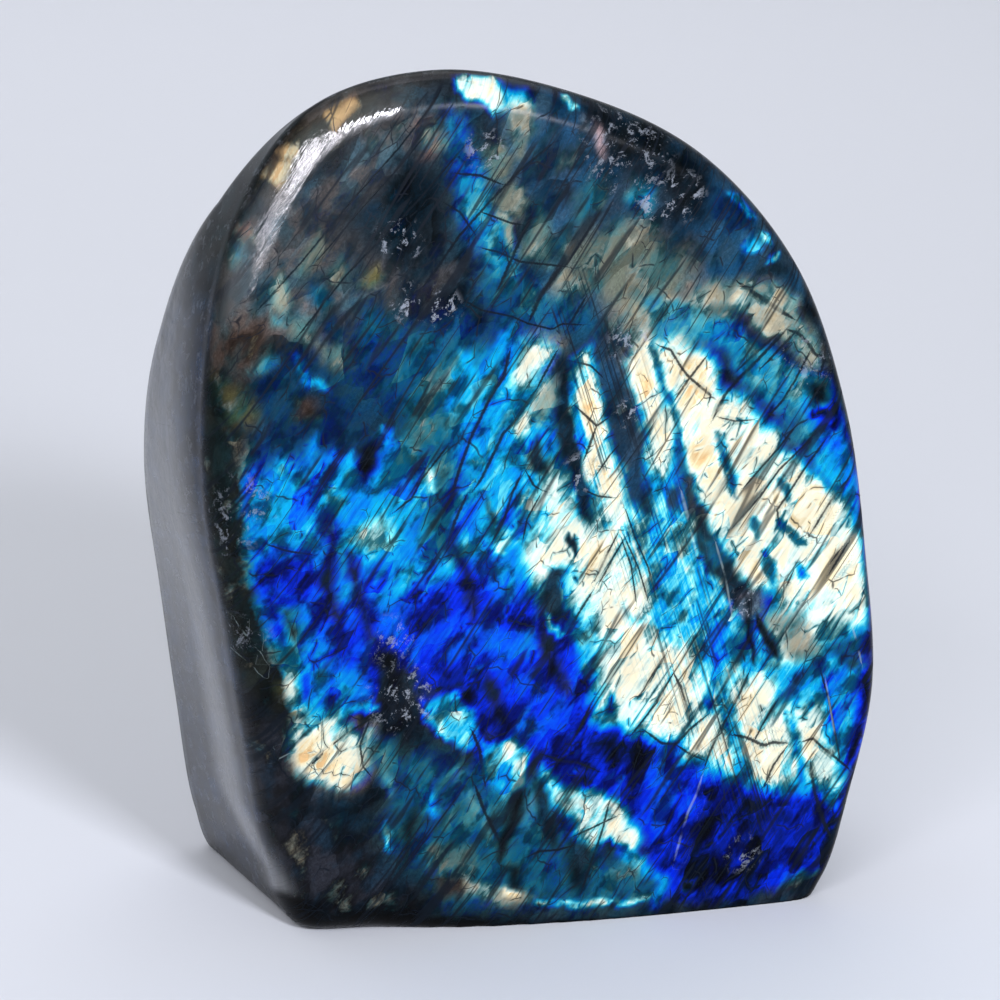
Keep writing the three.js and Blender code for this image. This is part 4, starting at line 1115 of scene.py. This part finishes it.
class Shader:
    """A material's node tree, with a short call for each kind of node that the stone needs."""

    # The mixing node's sockets for colours, by number because several have the same name.
    MIX_AMOUNT, MIX_FIRST, MIX_SECOND, MIX_RESULT = 0, 6, 7, 2

    def __init__(self, material):
        material.use_nodes = True
        self.tree = material.node_tree
        self.surface = self.tree.nodes["Principled BSDF"]

    def feed(self, socket, value):
        if isinstance(value, bpy.types.NodeSocket):
            self.tree.links.new(value, socket)
        else:
            socket.default_value = value

    def node(self, kind, inputs, **settings):
        made = self.tree.nodes.new(kind)
        for key, value in settings.items():
            setattr(made, key, value)
        for key, value in inputs.items():
            self.feed(made.inputs[key], value)
        return made

    def attribute(self, name, output="Fac"):
        return self.node("ShaderNodeAttribute", {}, attribute_name=name).outputs[output]

    def math(self, operation, first, *others):
        """A sum, a product or the like over values, one after the other."""
        for other in others:
            first = self.node("ShaderNodeMath", {0: first, 1: other}, operation=operation).outputs[0]
        return first

    def plus(self, *values):
        return self.math("ADD", *values)

    def minus(self, first, second):
        return self.math("SUBTRACT", first, second)

    def times(self, *values):
        return self.math("MULTIPLY", *values)

    def least(self, *values):
        return self.math("MINIMUM", *values)

    def most(self, *values):
        return self.math("MAXIMUM", *values)

    def size(self, value):
        return self.node("ShaderNodeMath", {0: value}, operation="ABSOLUTE").outputs[0]

    def centred(self, value, size):
        """A noise from 0 to 1 turned into one from about -size to size."""
        return self.times(self.minus(value, 0.5), 2 * size)

    def fade(self, value, low, high, bottom=0.0, top=1.0):
        """Goes smoothly from bottom, where the value is low, to top, where it is high."""
        inputs = {"Value": value, "From Min": low, "From Max": high, "To Min": bottom, "To Max": top}
        return self.node("ShaderNodeMapRange", inputs, interpolation_type="SMOOTHSTEP").outputs[0]

    def mix(self, amount, first, second):
        inputs = {self.MIX_AMOUNT: amount, self.MIX_FIRST: first, self.MIX_SECOND: second}
        return self.node("ShaderNodeMix", inputs, data_type="RGBA").outputs[self.MIX_RESULT]

    def vector_math(self, operation, inputs):
        return self.node("ShaderNodeVectorMath", inputs, operation=operation).outputs[0]

    def dim(self, colour, amount):
        return self.vector_math("SCALE", {0: colour, "Scale": amount})

    def scaled(self, vector, scales):
        return self.vector_math("MULTIPLY", {0: vector, 1: scales})

    def shifted(self, vector, offset):
        return vector if offset == NO_SHIFT else self.vector_math("ADD", {0: vector, 1: offset})

    def noise(self, vector, scales, detail=2, roughness=0.5, output="Fac"):
        inputs = {"Vector": self.scaled(vector, scales), "Scale": 1}
        inputs.update(Detail=detail, Roughness=roughness)
        dimensions = "3D" if scales[2] else "2D"
        return self.node("ShaderNodeTexNoise", inputs, noise_dimensions=dimensions).outputs[output]

    def cells(self, vector, scales, feature="F1", output="Color"):
        inputs = {"Vector": self.scaled(vector, scales), "Scale": 1}
        made = self.node("ShaderNodeTexVoronoi", inputs, feature=feature, voronoi_dimensions="2D")
        return made.outputs[output]

    def separate(self, colour):
        return self.node("ShaderNodeSeparateColor", {"Color": colour}).outputs

    def ramp(self, value, stops):
        made = self.node("ShaderNodeValToRGB", {"Fac": value})
        elements = made.color_ramp.elements
        while len(elements) < len(stops):
            elements.new(0.5)
        for element, (place, srgb) in zip(elements, stops):
            element.position = place
            element.color = (*linear_colour(srgb), 1)
        return made.outputs["Color"]


class Labradorite(Shader):
    """The stone's material."""

    def __init__(self, material, line_names):
        super().__init__(material)
        self.lamella = self.attribute("lamella", "Vector")
        self.slip_lines = self.attribute("slip_lines", "Vector")
        self.bent = self.wavy(self.lamella)
        self.front, self.veil, self.slips = (self.attribute(name) for name in ("front", "veil", "slips"))
        for name, (follows, shift, scales, detail, roughness) in NOISES.items():
            vector = self.shifted(getattr(self, follows), shift)
            setattr(self, name, self.noise(vector, scales, detail, roughness))
        self.block, self.chip = (
            self.separate(self.cells(self.bent, scales)) for scales in (BLOCK_SCALES, CHIP_SCALES)
        )
        self.core, self.margin = self.found_lines()
        self.dark = self.plus(self.drawn_lines(line_names["dark"]), self.centred(self.fine, FINE_BORDER))
        self.pale = self.drawn_lines(line_names["pale"])
        self.drawn_margin = self.fade(self.dark, *DRAWN_MARGIN)

    def wavy(self, vector):
        """A vector with a gentle wave in it, so that nothing runs quite straight."""
        wave = self.shifted(self.noise(vector, WAVE_SCALES, output="Color"), WAVE_MIDDLE)
        return self.shifted(vector, self.scaled(wave, WAVE_SIZE))

    def core_and_margin(self, away, thin, widths, some):
        return [self.times(self.fade(away, thin * low, thin * high), some) for low, high in widths]

    def cracks(self, shift, scales, thin, amount):
        """A net of thin cracks between cells, of which only some show."""
        vector = self.shifted(self.bent, shift)
        away = self.cells(vector, scales, "DISTANCE_TO_EDGE", "Distance")
        some = self.noise(self.shifted(vector, SOME_CRACKS_SHIFT), SOME_CRACKS_SCALES)
        return self.core_and_margin(away, thin, CRACK_WIDTHS, self.fade(some, *amount))

    def hairlines(self, vector, scales, thin, shift, amount):
        """Long thin lines where a drawn-out noise crosses its middle."""
        start = self.shifted(vector, (shift, 0, 0))
        level = self.noise(start, scales, HAIRLINE_DETAIL, HAIRLINE_ROUGHNESS)
        away = self.size(self.minus(level, 0.5))
        some = self.noise(self.shifted(vector, (shift, *HAIRLINE_BREAKS_SHIFT)), HAIRLINE_BREAKS_SCALES)
        return self.core_and_margin(away, thin, HAIRLINE_WIDTHS, self.fade(some, *amount))

    def found_lines(self):
        """Cracks and layers that show as lines: their cores and their wider margins."""
        pairs = [self.cracks(*values) for values in CRACKS]
        pairs += [self.hairlines(self.lamella, *values) for values in HAIRLINES]
        slipped = self.hairlines(self.slip_lines, *SLIP_HAIRLINES)
        pairs.append([self.times(part, self.slips) for part in slipped])
        return [self.most(*parts) for parts in zip(*pairs)]

    def drawn_lines(self, names):
        """Distance to the nearest of the drawn lines, in half widths."""
        return self.least(*[self.size(self.attribute(name)) for name in names])

    def flash_order(self):
        """The flash's place in the order of colours."""
        order = self.attribute("order")
        highest = self.plus(order, self.fade(order, *ROOM_BY_ORDER))
        hatch = self.times(self.centred(self.streak, STREAK_SWAY), self.fade(order, *STREAKS_BY_ORDER))
        sway = self.plus(
            self.centred(self.chip["Red"], CHIP_SWAY),
            self.centred(self.cloud, CLOUD_SWAY),
            self.centred(self.block["Red"], BLOCK_SWAY),
            self.centred(self.fine, FINE_SWAY),
            hatch,
        )
        sway = self.times(sway, self.fade(self.veil, *LOOSE_BY_VEIL))
        slip_sway = self.times(self.centred(self.slip_streak, SLIP_SWAY), self.slips)
        order = self.least(self.plus(order, sway, slip_sway), highest)
        lowered = self.times(self.margin, self.fade(self.block["Green"], *MARGIN_ORDER_BY_BLOCK))
        return self.minus(self.minus(order, lowered), self.times(self.drawn_margin, DRAWN_MARGIN_LOWERS))

    def flash_colour(self, order, paleness):
        """The flash's colour, brighter in some places than in others."""
        strength = self.fade(self.shade, *STRENGTH_BY_SHADE)
        strength = self.most(strength, self.times(paleness, PALE_STRENGTH))
        strength = self.times(strength, self.fade(self.streak, *STRENGTH_BY_STREAK))
        strength = self.plus(strength, self.centred(self.chip["Green"], CHIP_STRENGTH))
        return self.dim(self.ramp(self.least(order, LAST_ORDER), FLASH_COLOURS), strength)

    def body_colour(self):
        """The body stone, from teal to brown."""
        tint = self.mix(self.fade(self.cloud, *WARM_BY_CLOUD), COOL_TINT, WARM_TINT)
        grain = self.times(self.fade(self.fine, *BODY_BY_FINE), self.fade(self.shade, *BODY_BY_SHADE))
        grain = self.times(grain, self.plus(LEAST_BLOCK, self.block["Red"]))
        return self.dim(self.scaled(self.attribute("body", "Color"), tint), grain)

    def body_cover(self):
        """How far the body stone covers the flash."""
        cover = self.plus(
            self.veil,
            self.centred(self.shade, SHADE_COVER),
            self.centred(self.streak, STREAK_COVER),
            self.centred(self.fine, FINE_COVER),
        )
        return self.fade(self.times(cover, self.fade(self.veil, *CLEAR_BY_VEIL)), *COVER_BY_VEIL)

    def with_stains(self, colour, paleness, cover):
        """Brown stained margins where the flash is pale."""
        some = self.times(self.margin, self.fade(self.block["Blue"], *STAINS_BY_BLOCK))
        clear = self.times(paleness, self.minus(1, cover))
        stain = self.times(self.most(self.drawn_margin, some), clear, STAIN_SHARE)
        return self.mix(stain, colour, STAIN_BROWN)

    def with_lines(self, colour, thin):
        """The dark cores of lines, then pale lines."""
        drawn = self.times(self.fade(self.dark, *DRAWN_CORE), self.fade(self.shade, *DRAWN_BY_SHADE))
        pale = self.times(self.fade(self.pale, *PALE_LINE), self.fade(self.shade, *PALE_LINE_BY_SHADE))
        for amount, line in ((thin, CRACK_BLACK), (drawn, DRAWN_BLACK), (pale, PALE_LINE_GREY)):
            colour = self.mix(amount, colour, line)
        return colour

    def with_crumbs(self, colour, rough, bright):
        """Dark pits and white crumbs where the stone is rough."""
        pits = self.times(self.fade(self.crumb, *DARK_PITS), rough)
        colour = self.mix(self.times(pits, PIT_SHARE), colour, PIT_BLACK)
        return self.mix(self.times(bright, CRUMB_SHARE), colour, CRUMB_WHITE)

    def make_colour(self, thin, rough, bright):
        order = self.flash_order()
        paleness = self.fade(order, *PALE_BY_ORDER)
        cover = self.body_cover()
        colour = self.mix(cover, self.flash_colour(order, paleness), self.body_colour())
        colour = self.with_stains(colour, paleness, cover)
        colour = self.with_lines(colour, thin)
        self.feed(self.surface.inputs["Base Color"], self.with_crumbs(colour, rough, bright))

    def make_roughness(self, thin, bright):
        worn = self.times(self.most(bright, thin), WORN_ROUGHNESS)
        self.feed(self.surface.inputs["Roughness"], self.plus(ROUGHNESS, worn))
        self.feed(self.surface.inputs["Specular IOR Level"], SPECULAR)

    def make_polish(self):
        """A clear coat with fine scratches along the layers."""
        polish = self.attribute("polish")
        brushing = self.times(self.streak, self.fade(self.front, *BRUSHING_BY_FRONT))
        relief = self.plus(brushing, self.times(self.cloud, CLOUD_RELIEF))
        scratches = {"Strength": polish, "Distance": SCRATCH_DEPTH, "Height": relief}
        bump = self.node("ShaderNodeBump", scratches).outputs[0]
        self.feed(self.surface.inputs["Coat Weight"], polish)
        self.feed(self.surface.inputs["Coat Roughness"], COAT_ROUGHNESS)
        self.feed(self.surface.inputs["Coat IOR"], COAT_IOR)
        self.feed(self.surface.inputs["Coat Normal"], bump)


def labradorite_material(line_names):
    material = bpy.data.materials.new("labradorite")
    stone = Labradorite(material, line_names)
    thin = stone.times(stone.core, stone.front, CRACK_SHARE)
    rough = stone.attribute("fleck")
    bright = stone.times(stone.fade(stone.crumb, *BRIGHT_CRUMBS), rough)
    stone.make_colour(thin, rough, bright)
    stone.make_roughness(thin, bright)
    stone.make_polish()
    return material


# The photograph's view: 13 degrees to the left of the face, 17 above level, from 850 mm away.
VIEW_TURN, VIEW_RISE = np.radians(-13), np.radians(17)
VIEW_DISTANCE = 0.85
VIEW_HALF_WIDTH = 0.1
SENSOR_WIDTH = 36
AIM_HEIGHT = 0.084

# Lights in metres: name, place, what they point at, width and height, power, colour and roll.
UPPER_STONE = (-0.03, 0, 0.15)
GLINT_COLOUR = (0.95, 0.92, 1.0)
LIGHTS = [
    ("key", (0.33, -1.2, 0.70), (0, 0, 0.06), (0.25, 0.25), 16.6, (0.91, 0.91, 1.0), 0),
    ("overhead", (0.0, 1.0, 1.2), (0, 1.0, 0), (1.6, 1.2), 11.3, (0.96, 0.93, 1.0), 0),
    ("upper_glint", (-0.44, -0.86, 0.72), UPPER_STONE, (0.16, 0.8), 4.4, GLINT_COLOUR, np.radians(43)),
    ("left_glint", (-0.62, -0.78, 0.5), UPPER_STONE, (0.2, 0.26), 0.9, GLINT_COLOUR, 0),
]
ROOM_COLOUR, ROOM_STRENGTH = (0.97, 1.0, 0.93, 1), 0.28

# The studio's round floor and wall, in metres, and their paper.
FLOOR_RADIUS, SWEEP_RADIUS, WALL_TOP = 1.7, 0.6, 1.6
FLOOR_TURNS, SWEEP_STEPS = 96, 13
PAPER_COLOUR, PAPER_ROUGHNESS, PAPER_SPECULAR = (0.71, 0.74, 0.78, 1), 0.9, 0.1


def make_camera(middle):
    data = bpy.data.cameras.new("camera")
    data.sensor_width = SENSOR_WIDTH
    data.lens = data.sensor_width / 2 * VIEW_DISTANCE / VIEW_HALF_WIDTH
    camera = place_object("camera", data)
    level = np.cos(VIEW_RISE)
    back = Vector((np.sin(VIEW_TURN) * level, -np.cos(VIEW_TURN) * level, np.sin(VIEW_RISE)))
    aim = Vector((-middle[0] * MM, -middle[1] * MM, AIM_HEIGHT))
    camera.location = aim + back * VIEW_DISTANCE
    camera.rotation_euler = (-back).to_track_quat("-Z", "Y").to_euler()
    bpy.context.scene.camera = camera


def area_light(name, place, aim, size, power, colour, roll):
    data = bpy.data.lights.new(name, "AREA")
    data.shape = "RECTANGLE"
    data.size, data.size_y = size
    data.energy = power
    data.color = colour
    light = place_object(name, data)
    light.location = place
    aimed = (Vector(aim) - Vector(place)).to_track_quat("-Z", "Y")
    light.rotation_euler = (aimed @ Quaternion((0, 0, 1), roll)).to_euler()


def make_room():
    """The light of the room all around."""
    world = bpy.data.worlds.new("studio")
    bpy.context.scene.world = world
    world.use_nodes = True
    background = world.node_tree.nodes["Background"]
    background.inputs["Color"].default_value = ROOM_COLOUR
    background.inputs["Strength"].default_value = ROOM_STRENGTH


def floor_profile():
    """Distances from the middle and heights: the floor's edge, its sweep upwards and the wall's top."""
    turns = np.linspace(0, np.pi / 2, SWEEP_STEPS + 1)
    profile = [(FLOOR_RADIUS + SWEEP_RADIUS * np.sin(t), SWEEP_RADIUS * (1 - np.cos(t))) for t in turns]
    return profile + [(FLOOR_RADIUS + SWEEP_RADIUS, WALL_TOP)]


def paper_material():
    material = bpy.data.materials.new("studio_paper")
    material.use_nodes = True
    shader = material.node_tree.nodes["Principled BSDF"]
    shader.inputs["Base Color"].default_value = PAPER_COLOUR
    shader.inputs["Roughness"].default_value = PAPER_ROUGHNESS
    shader.inputs["Specular IOR Level"].default_value = PAPER_SPECULAR
    return material


def make_floor():
    """A round floor whose far edge sweeps up into a pale wall."""
    profile = floor_profile()
    turns = [2 * np.pi * i / FLOOR_TURNS for i in range(FLOOR_TURNS)]
    vertices = [(r * np.cos(t), r * np.sin(t), z) for r, z in profile for t in turns] + [(0, 0, 0)]
    faces = []
    for i in range(FLOOR_TURNS):
        k = (i + 1) % FLOOR_TURNS
        faces.append((k, i, len(vertices) - 1))
        for low in range(0, len(vertices) - 1 - FLOOR_TURNS, FLOOR_TURNS):
            faces.append((low + i, low + k, low + FLOOR_TURNS + k, low + FLOOR_TURNS + i))
    mesh = bpy.data.meshes.new("studio_floor")
    mesh.from_pydata(vertices, [], faces)
    mesh.shade_smooth()
    mesh.materials.append(paper_material())
    place_object("studio_floor", mesh)


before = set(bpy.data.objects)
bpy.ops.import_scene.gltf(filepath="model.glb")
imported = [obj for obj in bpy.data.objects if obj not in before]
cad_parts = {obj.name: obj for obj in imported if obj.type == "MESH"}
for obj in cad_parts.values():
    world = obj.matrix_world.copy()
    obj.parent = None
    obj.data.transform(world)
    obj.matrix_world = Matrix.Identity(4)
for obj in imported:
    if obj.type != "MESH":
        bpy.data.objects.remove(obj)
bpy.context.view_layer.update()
stone, shape, middle = make_stone()
line_names = paint_stone(stone, shape)
stone.data.materials.append(labradorite_material(line_names))
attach(stone, "root")
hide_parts(NODE)
make_camera(middle)
make_floor()
for light in LIGHTS:
    area_light(*light)
make_room()
bpy.context.scene.view_settings.view_transform = "Standard"
